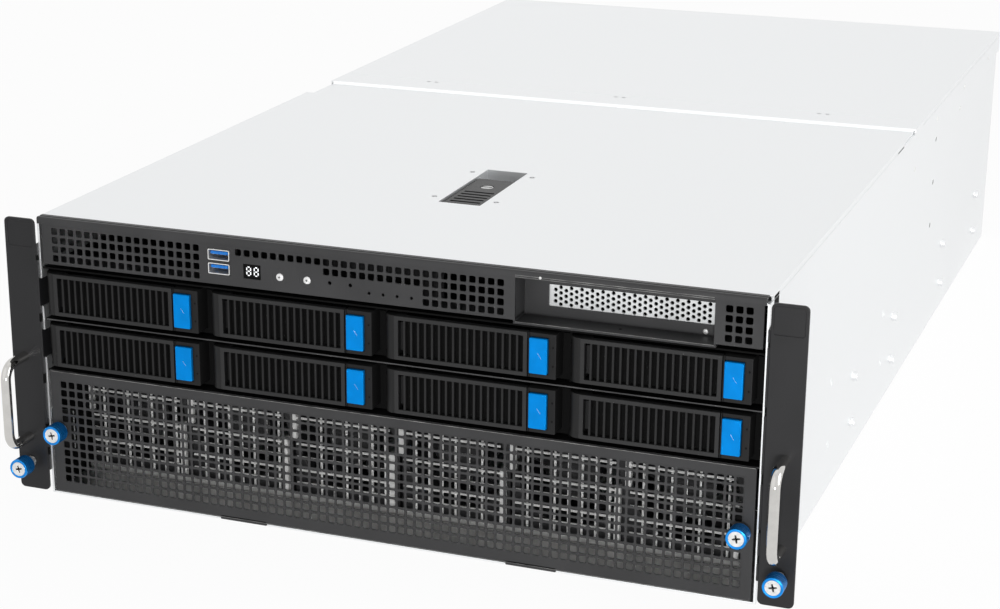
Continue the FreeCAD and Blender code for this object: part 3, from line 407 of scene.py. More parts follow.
def main_board(finish, colours):
    """Main board: bare aluminium fins over the processors, black memory, solder mask elsewhere."""
    where = finish.place()
    stands = finish.part(where, UP) > 9.2
    fins = stands * ((finish.part(where, ACROSS).distance() - 90.0).distance() < 39.5)
    dust = finish.noise(14.0)
    plain = finish.blend(stands, finish.tone(dust, colours.board, 0.8, 1.3), (0.012, 0.012, 0.013))
    finish.surface(base_color=finish.blend(fins, plain, (0.62, 0.63, 0.64)), metallic=fins * 0.85,
                   roughness=finish.spread(dust, 0.32, 0.45))


def black_board(finish, colours):
    """Black solder mask with faint tracks."""
    finish.surface(base_color=finish.blend(tracks(finish), (0.004, 0.004, 0.0045), (0.012, 0.012, 0.013)),
                   roughness=0.5, specular_ior_level=0.2)


def dark_void(finish, colours):
    """Unlit depth inside sockets and holes."""
    finish.surface(base_color=finish.blend(finish.noise(1.5), (0.002, 0.002, 0.002), (0.006, 0.006, 0.006)),
                   roughness=0.8, specular_ior_level=0.1)


def lit_segment(finish, colours):
    """Lit segments of the display."""
    shade = finish.blend(finish.spread(finish.noise(0.8, 1.0)), (0.80, 0.82, 0.84), (0.95, 0.96, 0.97))
    finish.surface(base_color=shade, roughness=0.4, emission_color=shade, emission_strength=0.45)


def material(maker):
    """The material that maker wires, made once."""
    name = maker.__name__
    if name not in bpy.data.materials:
        maker(Finish(bpy.data.materials.new(name)), bpy.context.scene.server_finish)
    return bpy.data.materials[name]


# Mesh code, in millimetres with y counted from the front panel

SQUARE_STEPS = 3
SMOOTH_LIMIT = math.radians(35)


def rounded_rectangle(x0, x1, z0, z1, corner, steps=SQUARE_STEPS):
    """Loop of a rectangle with round corners."""
    loop = []
    centres = ((x1 - corner, z1 - corner, 0), (x0 + corner, z1 - corner, 90), (x0 + corner, z0 + corner, 180),
               (x1 - corner, z0 + corner, 270))
    for cx, cz, start in centres:
        for step in range(steps):
            angle = math.radians(start + 90 * step / (steps - 1))
            loop.append((cx + corner * math.cos(angle), cz + corner * math.sin(angle)))
    return loop


def rounded_square(x, z, size, corner):
    return rounded_rectangle(x - size / 2, x + size / 2, z - size / 2, z + size / 2, corner)


def ring_loop(x, z, radius, count):
    angles = [2 * math.pi * step / count for step in range(count)]
    return [(x + radius * math.cos(angle), z + radius * math.sin(angle)) for angle in angles]


def ends(side, near, far):
    """Ends of a span on the left (-1) or right (1) side, the lower first."""
    return sorted((side * near, side * far))


class Maker:
    """Gathers the faces of one piece."""

    def __init__(self):
        self.points = []
        self.faces = []
        self.paints = []

    def add(self, points, faces, paint=0):
        start = len(self.points)
        self.points += [tuple(point) for point in points]
        self.faces += [[start + index for index in face] for face in faces]
        self.paints += [paint] * len(faces)

    def block(self, x0, x1, y0, y1, z0, z1, edge=0.25, paint=0):
        """Box with all its edges cut off at 45 degrees."""
        low = (x0, y0, z0)
        high = (x1, y1, z1)
        edge = min(edge, min(b - a for a, b in zip(low, high)) * 0.45)
        points = []
        index = {}
        for corner in range(8):
            signs = [(corner >> axis) & 1 for axis in range(3)]
            for axis in range(3):
                point = [(high[k] if signs[k] else low[k]) for k in range(3)]
                for k in range(3):
                    if k != axis:
                        point[k] += -edge if signs[k] else edge
                index[corner, axis] = len(points)
                points.append(point)
        faces = []
        for axis in range(3):
            b, c = (axis + 1) % 3, (axis + 2) % 3
            for side in (0, 1):
                start = side << axis
                ring = [start, start | 1 << b, start | 1 << b | 1 << c, start | 1 << c]
                if not side:
                    ring.reverse()
                faces.append([index[corner, axis] for corner in ring])
            for sb in (0, 1):
                for sc in (0, 1):
                    a0 = sb << b | sc << c
                    a1 = a0 | 1 << axis
                    quad = [index[a0, b], index[a1, b], index[a1, c], index[a0, c]]
                    if sb == sc:
                        quad.reverse()
                    faces.append(quad)
        for corner in range(8):
            trio = [index[corner, axis] for axis in range(3)]
            if bin(corner).count("1") % 2 == 0:
                trio.reverse()
            faces.append(trio)
        self.add(points, faces, paint)

    def skin(self, rings, paint=0, closed=(True, True), flip=False):
        """Joins rings of equally many points and closes the chosen ends; flip turns the faces over."""
        count = len(rings[0])
        last = (len(rings) - 1) * count
        faces = []
        for start in range(0, last, count):
            for step in range(count):
                a, b = start + step, start + (step + 1) % count
                faces.append([a, b, b + count, a + count])
        if closed[0]:
            faces.append(list(reversed(range(count))))
        if closed[1]:
            faces.append(list(range(last, last + count)))
        if flip:
            faces = [[face[0], *reversed(face[1:])] for face in faces]
        self.add([point for ring in rings for point in ring], faces, paint)

    def turned(self, profile, centre, axis=(0, 1, 0), count=24, paint=0, ridges=None):
        """Surface of revolution of (radius, distance along axis); ridges = (first, last, depth)."""
        along = Vector(axis)
        side = along.orthogonal().normalized()
        other = along.cross(side)
        rings = []
        for number, (radius, reach) in enumerate(profile):
            middle = Vector(centre) + along * reach
            ridged = ridges and ridges[0] <= number <= ridges[1]
            ring = []
            for step in range(count):
                angle = 2 * math.pi * step / count
                r = radius - ridges[2] if ridged and step % 2 else radius
                ring.append(middle + (side * math.cos(angle) + other * math.sin(angle)) * r)
            rings.append(ring)
        self.skin(rings, paint, (profile[0][0] > 0, profile[-1][0] > 0))

    def spot(self, centre, radius, sink):
        """Shallow pressed spot whose top is level with the sheet."""
        profile = [(radius, sink), (radius * 0.95, 0.0), (radius * 0.5, 0.0), (radius * 0.4, sink * 0.5),
                   (0.0, sink * 0.6)]
        self.turned(profile, centre, (0, 0, 1), 16)

    def bar(self, start, end, radius):
        """Straight round wire."""
        start, end = Vector(start), Vector(end)
        self.turned([(radius, 0), (radius, (end - start).length)], start, (end - start).normalized(), 6)

    def bent(self, x, path, radius, count=28):
        """Round bar along a (y, z) path in the plane of x."""
        side = Vector((1, 0, 0))
        rings = []
        for number, (y, z) in enumerate(path):
            before, after = path[max(number - 1, 0)], path[min(number + 1, len(path) - 1)]
            up = Vector((0, after[0] - before[0], after[1] - before[1])).normalized().cross(side)
            angles = [2 * math.pi * step / count for step in range(count)]
            rings.append([Vector((x, y, z)) + (side * math.cos(angle) + up * math.sin(angle)) * radius
                          for angle in angles])
        self.skin(rings, flip=True)

    def drawn(self, loop, low, high, paint=0):
        """Prism of a (y, z) profile along x."""
        self.skin([[(x, y, z) for y, z in loop] for x in (low, high)], paint)

    def pierced(self, loops, level, thickness, rim, paint=0):
        """Punched upright sheet with rounded rims, of (x, z) loops, from level to level + thickness in y."""
        curve = bpy.data.curves.new("punched", "CURVE")
        curve.dimensions = "2D"
        curve.fill_mode = "BOTH"
        curve.extrude = thickness / 2 - rim
        curve.bevel_depth = rim
        curve.bevel_resolution = 0
        curve.offset = -rim
        for loop in loops:
            spline = curve.splines.new("POLY")
            spline.points.add(len(loop) - 1)
            for point, (u, v) in zip(spline.points, loop):
                point.co = (u, v, 0, 1)
            spline.use_cyclic_u = True
        holder = bpy.data.objects.new("punched", curve)
        mesh = bpy.data.meshes.new_from_object(holder)
        middle = level + thickness / 2
        points = [(vertex.co.x, middle - vertex.co.z, vertex.co.y) for vertex in mesh.vertices]
        self.add(points, [list(face.vertices) for face in mesh.polygons], paint)
        bpy.data.meshes.remove(mesh)
        bpy.data.objects.remove(holder)
        bpy.data.curves.remove(curve)

    def piece(self, name, body, makers, slot=None, replaces=()):
        """Turns the gathered faces into an object that rides on body."""
        mesh = bpy.data.meshes.new(name)
        shift = Vector((0, FRONT_Y, 0))
        mesh.from_pydata([(Vector(point) + shift) * MM for point in self.points], [], self.faces)
        for maker in makers:
            mesh.materials.append(material(maker))
        for face, paint in zip(mesh.polygons, self.paints):
            face.material_index = paint
            face.use_smooth = True
        mesh.validate()
        mesh.set_sharp_from_angle(angle=SMOOTH_LIMIT)
        made = bpy.data.objects.new(name, mesh)
        bpy.context.scene.collection.objects.link(made)
        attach(made, body)
        if replaces:
            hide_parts(*replaces)


def finish_node(node, maker, bevel=0.2, limit=40):
    """Gives a node that stays its material and softly rounded edges."""
    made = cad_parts[node]
    made.data.materials.clear()
    made.data.materials.append(material(maker))
    if bevel:
        weld = made.modifiers.new("weld", "WELD")
        weld.merge_threshold = 0.01 * MM
        edge = made.modifiers.new("edge", "BEVEL")
        edge.width = bevel * MM
        edge.segments = 2
        edge.limit_method = "ANGLE"
        edge.angle_limit = math.radians(limit)
        edge.use_clamp_overlap = True


class ServerOperator:
    """What every operator of this file shares."""
    bl_options = {"REGISTER", "UNDO"}

    def execute(self, context):
        self.build()
        return {"FINISHED"}


# Case

class SERVER_OT_case(ServerOperator, bpy.types.Operator):
    """Finish the plated sheets of the case and the boards inside"""
    bl_idname = "server.case"
    bl_label = "Case"

    def build(self):
        shell = ("left_side_wall", "right_side_wall", "top_bridge", "front_cover", "rear_cover",
                 "chassis_floor")
        rotors = ["fan_rotor_%d" % number for number in range(1, 7)]
        for nodes, maker, bevel in (
                (shell, plated_sheet, 0.35), (("rear_panel", "rear_fittings"), plated_sheet, 0.2),
                (("psu_1", "psu_2"), inner_sheet, 0.3), (("drive_cage",), cage_steel, 0.15),
                (("drive_backplane",), circuit_board, 0), (("motherboard",), main_board, 0),
                (("fan_housings",), fan_plastic, 0.3), (rotors, fan_plastic, 0.2)):
            for node in nodes:
                finish_node(node, maker, bevel)


# Control panel

FOLD = 1.2
SLOT_RIGHT = PANEL_RIGHT - 26.5
SLOT_LEFT = SLOT_RIGHT - 111.5
USB_X = PANEL_LEFT + 116.2
USB_Z = (155.4, 163.6)
BUTTON_X, PINHOLE_X, LAMP_X = ([PANEL_LEFT + place for place in places] for places in (
    (154.6, 171.6), (185.5, 198.1), (209.5, 218.0, 226.5, 235.1)))
BUTTON_UP, LAMP_UP = 8.7, 5.4
PANEL_BOTTOM = box_mm("front_panel")[0].z + 2.2
HEM = CHASSIS_TOP - 4.0
RECESS_FLOOR, RECESS_BACK, RECESS_TOP = PANEL_BOTTOM - 1.0, 16.0, 170.0
DISPLAY_X = (PANEL_LEFT + 131.6, PANEL_LEFT + 142.6)
DISPLAY_Z = (151.45, 160.15)


class SERVER_OT_control_panel(ServerOperator, bpy.types.Operator):
    """Punch the control panel and fold its hem and slot recess"""
    bl_idname = "server.control_panel"
    bl_label = "Control panel"

    def build(self):
        sizes = bpy.context.scene.server_sizes
        rim = sizes.rim / MM
        sheet = Maker()
        sheet.pierced(self.openings(sizes), 0.0, FOLD, rim)
        for x in BUTTON_X:
            dish = [(4.75, 0.1), (4.3, 0.25), (3.6, 0.75), (2.75, 1.15), (2.65, 2.4)]
            sheet.turned(dish, (x, 0, PANEL_BOTTOM + BUTTON_UP), count=28)
        self.hem(sheet)
        self.recess(sheet, rim)
        sheet.piece("control_panel", "chassis", (panel_paint, paint_wear), "black_sheet", ("front_panel",))
        self.fittings()

    def openings(self, sizes):
        """Outline of the panel, its square holes and the openings for what looks through."""
        hole, pitch, corner = (value / MM for value in (sizes.hole, sizes.pitch, sizes.hole_corner))
        loops = [[(PANEL_LEFT, PANEL_BOTTOM), (SLOT_LEFT, PANEL_BOTTOM), (SLOT_LEFT, HEM), (SLOT_RIGHT, HEM),
                  (SLOT_RIGHT, PANEL_BOTTOM), (PANEL_RIGHT, PANEL_BOTTOM), (PANEL_RIGHT, HEM + 1),
                  (PANEL_LEFT, HEM + 1)]]
        lamps_end = LAMP_X[-1] + 0.9 + 4.4
        for row, start in enumerate((USB_X + 11.25, BUTTON_X[-1] + 9.0, lamps_end, lamps_end)):
            columns = [PANEL_LEFT + 8.5 + number * pitch for number in range(18)]
            x = SLOT_LEFT - 8.5
            while x > start:
                columns.append(x)
                x -= pitch
            columns += [PANEL_RIGHT - 7.8 - number * pitch for number in range(3)]
            loops += [rounded_square(x, CHASSIS_TOP - 8.1 - row * pitch, hole, corner) for x in columns]
        for z in USB_Z:
            loops.append(rounded_rectangle(USB_X - 7.15, USB_X + 7.15, z - 3.55, z + 3.55, 0.5))
        loops.append(rounded_rectangle(*DISPLAY_X, *DISPLAY_Z, 0.4))
        for places, up, radius, count in ((BUTTON_X, BUTTON_UP, 4.6, 28), (PINHOLE_X, BUTTON_UP, 1.1, 14),
                                          (LAMP_X, LAMP_UP, 0.9, 12)):
            loops += [ring_loop(x, PANEL_BOTTOM + up, radius, count) for x in places]
        return loops

    def hem(self, sheet):
        """Folded upper edge, with two lines of painted highlight over the slot."""
        top = CHASSIS_TOP
        profile = [(0.4, HEM), (0.4, top - 1.2), (6.0, top - 1.2), (6.0, top), (3.0, top), (2.7, top - 0.6),
                   (2.1, top - 0.6), (1.7, top - 0.05), (0.7, top), (0.0, top - 0.1), (-0.55, HEM + 3.5),
                   (-0.8, HEM + 2.9), (-0.8, HEM)]
        sheet.drawn(profile, -HALF + 0.3, HALF - 1.8)
        # Painted highlight: two light lines along the hem over the slot
        for z0, z1 in ((HEM + 1.3, HEM + 1.6), (HEM + 0.3, HEM + 0.55)):
            sheet.block(SLOT_LEFT + 0.2, SLOT_RIGHT - 0.2, -0.95, -0.7, z0, z1, 0.05, 1)

    def recess(self, sheet, rim):
        """Lower flange, and the recess behind the slot."""
        floor, back, top = RECESS_FLOOR, RECESS_BACK, RECESS_TOP
        for x0, x1 in ((PANEL_LEFT, SLOT_LEFT), (SLOT_RIGHT, PANEL_RIGHT)):
            sheet.block(x0, x1, 0.6, 18.4, PANEL_BOTTOM, PANEL_BOTTOM + FOLD, 0.2)
        for x in (SLOT_LEFT - FOLD, SLOT_RIGHT):
            sheet.block(x, x + FOLD, 0.3, back + FOLD, floor, top, 0.2)
        sheet.block(SLOT_LEFT - FOLD, SLOT_RIGHT + FOLD, 0.1, back + FOLD, floor - FOLD, floor, 0.3)
        plate = [(SLOT_LEFT - 1.0, floor - 1.0), (SLOT_RIGHT + 1.0, floor - 1.0), (SLOT_RIGHT + 1.0, top),
                 (SLOT_LEFT - 1.0, top)]
        window = rounded_rectangle(SLOT_LEFT + 14.0, SLOT_RIGHT - 3.5, floor + 6.0, floor + 18.6, 0.4)
        sheet.pierced([plate, window], back, FOLD, rim)
        # Painted highlight along the front edge of the recess floor
        sheet.block(SLOT_LEFT, SLOT_RIGHT, 0.3, 0.9, floor - 0.05, floor + 0.15, 0.05, 1)

    def fittings(self):
        """Screws of the recess and the hem, and the pit in the recess floor."""
        screws = Maker()
        large = [(1.6, 0), (1.6, -0.6), (1.2, -1.0), (0.0, -1.1)]
        screws.turned(large, (182.0, RECESS_BACK, 147.2), count=18)
        small = [(0.8, 0), (0.8, -0.3), (0.5, -0.6), (0.0, -0.7)]
        screws.turned(small, (93.6, -0.8, 171.8), count=12)
        screws.piece("recess_screws", "chassis", (bright_steel,), "plated_sheet")
        # Painted shade: the pit is coloured as unlit depth
        pit = Maker()
        dimple = [(0.9, 0), (0.9, 0.06), (0.55, 0.1), (0.0, 0.1)]
        pit.turned(dimple, (136.3, 9.0, RECESS_FLOOR), (0, 0, 1), 14)
        pit.piece("ledge_pit", "chassis", (dark_void,))


class SERVER_OT_slot_cover(ServerOperator, bpy.types.Operator):
    """Punch the round vents of the expansion slot's cover"""
    bl_idname = "server.slot_cover"
    bl_label = "Slot cover"

    def build(self):
        vent = bpy.context.scene.server_sizes.vent_hole / MM
        low, high = box_mm("slot_cover")
        pitch_x, pitch_z = 3.0, 3.25
        loops = [rounded_rectangle(low.x, high.x, low.z, high.z, 0.6)]
        columns = int((high.x - low.x - 4.0) / pitch_x)
        first = (low.x + high.x - (columns - 1) * pitch_x) / 2
        for column in range(columns):
            count = 4 if column % 2 else 3
            for row in range(count):
                z = (low.z + high.z) / 2 + (row - (count - 1) / 2) * pitch_z
                loops.append(ring_loop(first + column * pitch_x, z, vent, 12))
        cover = Maker()
        cover.pierced(loops, low.y, high.y - low.y, 0.1)
        cover.piece("vent_cover", "chassis", (inner_sheet,), "plated_sheet", ("slot_cover",))
        shade = Maker()
        shade.block(low.x + 0.5, high.x - 0.5, high.y + 2.0, high.y + 2.6, low.z + 0.5, high.z - 0.5, 0.2)
        shade.piece("vent_shade", "chassis", (dark_void,))


class SERVER_OT_front_sockets(ServerOperator, bpy.types.Operator):
    """Build the data sockets, the display and the push buttons of the control panel"""
    bl_idname = "server.front_sockets"
    bl_label = "Front sockets and buttons"

    def build(self):
        low, high = box_mm("front_io")
        board = high.y - 1.6
        parts = Maker()
        parts.block(low.x, high.x, board, high.y, low.z, high.z, 0.2, 3)
        for z in USB_Z:
            outer = rounded_rectangle(USB_X - 6.85, USB_X + 6.85, z - 3.25, z + 3.25, 0.7)
            inner = rounded_rectangle(USB_X - 6.3, USB_X + 6.3, z - 2.7, z + 2.7, 0.5)
            parts.pierced([outer, inner], -0.25, 12.0, 0.1)
            # Painted shade: a dark plate at the back of each socket
            parts.block(USB_X - 6.3, USB_X + 6.3, 11.0, 11.8, z - 2.7, z + 2.7, 0.1, 2)
            parts.block(USB_X - 5.4, USB_X + 5.4, 0.6, 11.2, z + 0.2, z + 2.0, 0.25, 1)
            for pin in range(4):
                x = USB_X - 3.75 + pin * 2.5
                parts.block(x - 0.5, x + 0.5, 1.2, 10.5, z - 0.05, z + 0.25, 0.05)
        x0, x1, z0, z1 = DISPLAY_X[0] - 0.2, DISPLAY_X[1] + 0.2, DISPLAY_Z[0] - 0.25, DISPLAY_Z[1] + 0.25
        parts.block(x0, x1, 0.9, board, z0, z1, 0.2, 2)
        for shift in (-2.35, 2.35):
            for bar in self.digit((x0 + x1) / 2 + shift, (z0 + z1) / 2, 2.4, 4.9, 0.72):
                parts.block(bar[0], bar[1], 0.75, 1.0, bar[2], bar[3], 0.1, 4)
        finishes = (bright_steel, socket_blue, dark_void, black_board, lit_segment)
        parts.piece("front_sockets", "chassis", finishes, "circuit_board", ("front_io",))
        for name in ("power_button", "id_button"):
            self.button(name)

    def digit(self, x, z, width, height, stroke):
        """Seven bars of one digit as (x0, x1, z0, z1)."""
        half, thick = width / 2, stroke / 2
        gap = stroke * 0.22
        bars = [(x - half + gap + thick, x + half - gap - thick, z + level - thick, z + level + thick)
                for level in (-height / 2, 0, height / 2)]
        for across in (x - half, x + half):
            for start in (-height / 2, 0):
                low, high = z + start + gap + stroke * 0.3, z + start + height / 2 - gap - stroke * 0.3
                bars.append((across - thick, across + thick, low, high))
        return bars

    def button(self, name):
        """Domed cap with a ring drawn on it, and its stem."""
        middle = middle_mm(name)
        base = (middle.x, 0, middle.z)
        cap = Maker()
        dome = [(0.0, -0.8), (0.9, -0.78), (1.6, -0.68), (2.05, -0.4), (2.3, 0.2), (2.3, 2.0)]
        cap.turned(dome, base, count=28)
        cap.turned([(1.15, 2.0), (1.15, box_mm(name)[1].y)], base, count=16)
        cap.turned([(0.75, -0.8), (0.75, -0.83), (0.55, -0.83), (0.55, -0.8)], base, count=20, paint=1)
        cap.piece(name + "_cap", name, (white_cap, bright_steel), "white_plastic", (name,))


# Trays

LEVER_RIM = 2.4
LEVER_FIELD = 3.0 + 17 * 4.17


class SERVER_OT_trays(ServerOperator, bpy.types.Operator):
    """Finish the drive trays and their levers, and build the blue release buttons"""
    bl_idname = "server.trays"
    bl_label = "Drive trays"

    def build(self):
        for number in range(1, 9):
            tray, lever, button = ("%s_%d" % (kind, number) for kind in ("tray", "tray_lever", "tray_button"))
            finish_node(tray, tray_plastic, 0.25)
            finish_node(lever, lever_plastic, 0.25, 50)
            self.release(number, button)
            self.lamps(number, tray, lever, button)
            self.lever(number, lever)
        low, high = box_mm("drive_cage")
        # Painted highlight: lighter strips along the front edges of the cage's shelves
        edges = Maker()
        for top in (low.z + 1.0, (low.z + high.z + 1.0) / 2):
            edges.block(low.x + 0.5, high.x - 0.5, low.y - 0.06, low.y + 0.3, top - 0.85, top - 0.1, 0.05)
        edges.piece("shelf_edges", "chassis", (shelf_edge,), "black_sheet")

    def release(self, number, button):
        """Blue button with a fine white tick."""
        low, high = box_mm(button)
        x, z = (low.x + high.x) / 2, (low.z + high.z) / 2
        cap = Maker()
        cap.block(low.x, high.x, low.y, high.y, low.z, high.z, 0.4)
        tick = [(x - 0.35, z + 1.9), (x - 0.27, z + 1.96), (x + 1.85, z - 1.0), (x + 1.77, z - 1.06)]
        cap.pierced([tick], low.y - 0.02, 0.2, 0.02, 1)
        cap.piece("release_%d" % number, button, (release_blue, white_cap), "blue_plastic", (button,))

    def lamps(self, number, tray, lever, button):
        """Two lamp holes beside the button and dark blocks in the gap between button and tray, both painted
        shade.
        """
        low, high = box_mm(button)
        lever_low, lever_high = box_mm(lever)
        lamps = Maker()
        # Painted shade in the lamp holes
        for up in (-5.4, 5.4):
            lamps.turned([(0.62, -0.01), (0.5, -0.05), (0.45, -0.02), (0.0, -0.01)],
                         (high.x + 2.9, -2.0, (low.z + high.z) / 2 + up), count=12)
        # Painted shade: dark blocks in the gap between button and tray
        for z0, z1 in ((lever_low.z, low.z - 0.2), (high.z + 0.2, lever_high.z)):
            lamps.block(lever_high.x + 1.0, lever_high.x + 1.6, lever_low.y - 0.02, lever_low.y + 0.2,
                        z0, z1, 0.02)
        lamps.piece("tray_lamps_%d" % number, tray, (dark_void,))

    def lever(self, number, lever):
        """Dark block behind the slots, painted shade seen through them, and the raised border round them."""
        low, high = box_mm(lever)
        mesh = Maker()
        # Painted shade: a dark block behind the slots
        mesh.block(low.x + 12.0, high.x - 1.5, 1.6, 1.9, low.z + 1.5, high.z - 1.5, 0.05)
        mesh.piece("dust_mesh_%d" % number, lever, (dark_void,))
        rim = LEVER_RIM
        field = high.x - rim - LEVER_FIELD
        outer = rounded_rectangle(field - rim, high.x - 0.05, low.z + 0.1, high.z - 0.1, 0.5)
        inner = rounded_rectangle(field, high.x - rim, low.z + rim, high.z - rim, 0.3)
        border = Maker()
        border.pierced([outer, inner], low.y - 0.5, 0.55, 0.12)
        border.piece("lever_border_%d" % number, lever, (lever_border,), "black_plastic")


# Fan wall

FAN_COLUMNS, FAN_ROWS = 77, 12
PANEL_FOOT = 1.5
SCREW_CLEAR = 5.6
FAN_COUNT = 6
PANEL_SCREW = middle_mm("panel_screw_right")


class SERVER_OT_fan_panel(ServerOperator, bpy.types.Operator):
    """Punch the fan panel with its full perforation"""
    bl_idname = "server.fan_panel"
    bl_label = "Fan panel"

    def build(self):
        sizes = bpy.context.scene.server_sizes
        low, high = PANEL_LOW, PANEL_HIGH
        hole, pitch, corner, rim = (value / MM for value in (
            sizes.fan_hole, sizes.pitch, sizes.hole_corner, sizes.rim))
        back = low.y + sizes.fan_sheet / MM
        half_x, half_z = FAN_COLUMNS * pitch / 2, FAN_ROWS * pitch / 2
        middle = (high.z + PANEL_FOOT) / 2 + 0.5
        wide, wide_corner = hole + 2 * rim, corner + rim
        rings = [(low.y, wide, wide_corner), (low.y + rim, hole, corner), (back - rim, hole, corner),
                 (back, wide, wide_corner)]
        panel = Maker()
        for column in range(FAN_COLUMNS):
            for row in range(FAN_ROWS):
                x, z = (column + 0.5) * pitch - half_x, middle - half_z + (row + 0.5) * pitch
                solid = math.hypot(abs(x) - PANEL_SCREW.x, z - PANEL_SCREW.z) < SCREW_CLEAR
                self.cell(panel, x, z, pitch / 2, (low.y, back), () if solid else rings)
        outline = rounded_rectangle(low.x, high.x, PANEL_FOOT, high.z, 0.6)
        field = [(-half_x, middle - half_z), (half_x, middle - half_z), (half_x, middle + half_z),
                 (-half_x, middle + half_z)]
        panel.pierced([outline, field], low.y, high.y - low.y, rim * 0.6)
        # Painted highlight: light lines along the top edge and the foot of the panel
        for z0, z1 in ((high.z - 0.42, high.z - 0.05), (PANEL_FOOT + 0.05, PANEL_FOOT + 0.3)):
            panel.block(low.x + 0.6, high.x - 0.6, low.y - 0.02, low.y + 0.3, z0, z1, 0.05, 1)
        for x in (-90.0, 90.0):
            panel.block(x - 15, x + 15, low.y, high.y, low.z, PANEL_FOOT + 1.2, 0.2)
        panel.piece("fan_grille", "fan_panel", (panel_paint, paint_wear), "black_sheet", ("fan_panel",))

    def cell(self, panel, x, z, half, levels, rings):
        """One square of the punched field; its rings lead a hole from the front to the back."""
        corners = ((x + half, z + half), (x - half, z + half), (x - half, z - half), (x + half, z - half))
        points = [(u, y, v) for y in levels for u, v in corners]
        if not rings:
            panel.add(points, [[0, 1, 2, 3], [7, 6, 5, 4]])
            return
        first, count = len(points), 4 * SQUARE_STEPS
        last = first + (len(rings) - 1) * count
        for y, size, corner in rings:
            points += [(u, y, v) for u, v in rounded_square(x, z, size, corner)]
        faces = []
        for side in range(4):
            after = (side + 1) % 4
            a, b = side * SQUARE_STEPS, after * SQUARE_STEPS
            faces.append([side, after, first + b + 1, first + b, first + a + 2, first + a + 1])
            faces.append([4 + after, 4 + side, last + a + 1, last + a + 2, last + b, last + b + 1])
        for start in range(first, last, count):
            for step in range(count):
                after = (step + 1) % count
                faces.append([start + step, start + after, start + count + after, start + count + step])
        panel.add(points, faces)


class SERVER_OT_fan_guards(ServerOperator, bpy.types.Operator):
    """Weld the bright wire guards and brackets in front of the fans"""
    bl_idname = "server.fan_guards"
    bl_label = "Fan guards"

    def build(self):
        sizes = bpy.context.scene.server_sizes
        low, high = box_mm("fan_housings")
        pitch, wire = sizes.guard_pitch / MM, sizes.guard_wire / MM
        width = (high.x - low.x + 1.6) / FAN_COUNT
        y, top, waist = low.y - 1.2, high.z - 0.6, (low.z + high.z) / 2
        highest = PANEL_HIGH.z - 9.95
        rows = int((highest - low.z - 4) / pitch)
        guards = Maker()
        for fan in range(FAN_COUNT):
            x0 = low.x + fan * width + 3.2
            x1 = x0 + width - 11.0
            for number in range(int((x1 - x0) / pitch)):
                x = x0 + 6.3 + number * pitch
                guards.bar((x, y, low.z + 1), (x, y, top), wire)
            for number in range(rows + 1):
                z = highest - (rows - number) * pitch
                guards.bar((x0 - 1, y - 2 * wire, z), (x1 + 1, y - 2 * wire, z), wire)
            guards.block(x0 - 4.2, x0 - 0.7, y - 2.2, low.y, waist, top, 0.3)
            guards.block(x1 + 0.7, x1 + 4.2, y - 2.2, low.y, low.z, waist, 0.3)
        for back, up in ((low.y - 0.2, 1.0), (low.y - 5.2, 3.2)):
            guards.block(low.x, high.x, low.y - 6.0, back, low.z, low.z + up, 0.3)
        guards.block(-INNER + 14.0, INNER - 14.0, 3.0, low.y - 6.0, low.z, low.z + 0.3, 0.1, 2)
        # Painted shade: a dark liner on the inside of the left wall
        guards.block(-INNER + 0.2, -INNER + 0.8, 4.0, low.y - 0.5, low.z + 0.5, top, 0.1, 1)
        # Painted shade: dark flaps behind the holes round each panel screw
        for side in (-1, 1):
            flap = rounded_rectangle(*ends(side, INNER - 15.0, INNER - 0.2), PANEL_SCREW.z - 12.0,
                                     PANEL_SCREW.z + 12.0, 0.4)
            hole = ring_loop(side * PANEL_SCREW.x, PANEL_SCREW.z, 2.9, 18)
            guards.pierced([flap, hole], SHEET + 0.2, 0.15, 0.02, 1)
        guards.piece("fan_guards", "chassis", (guard_zinc, dark_void, floor_zinc), "plated_sheet")


# Screws, ears and handles

# Way of the tip, collar, radius of the shank and neck of each kind of thumbscrew
SCREWS = {"panel": (1, 3.0, 2.0, 0.0), "ear": (1, 5.0, 2.75, 2.6), "cover": (-1, 2.0, 2.0, 0.0)}
KNOB = 10.0
WELL_R = 4.45
THREAD_PITCH = 0.8


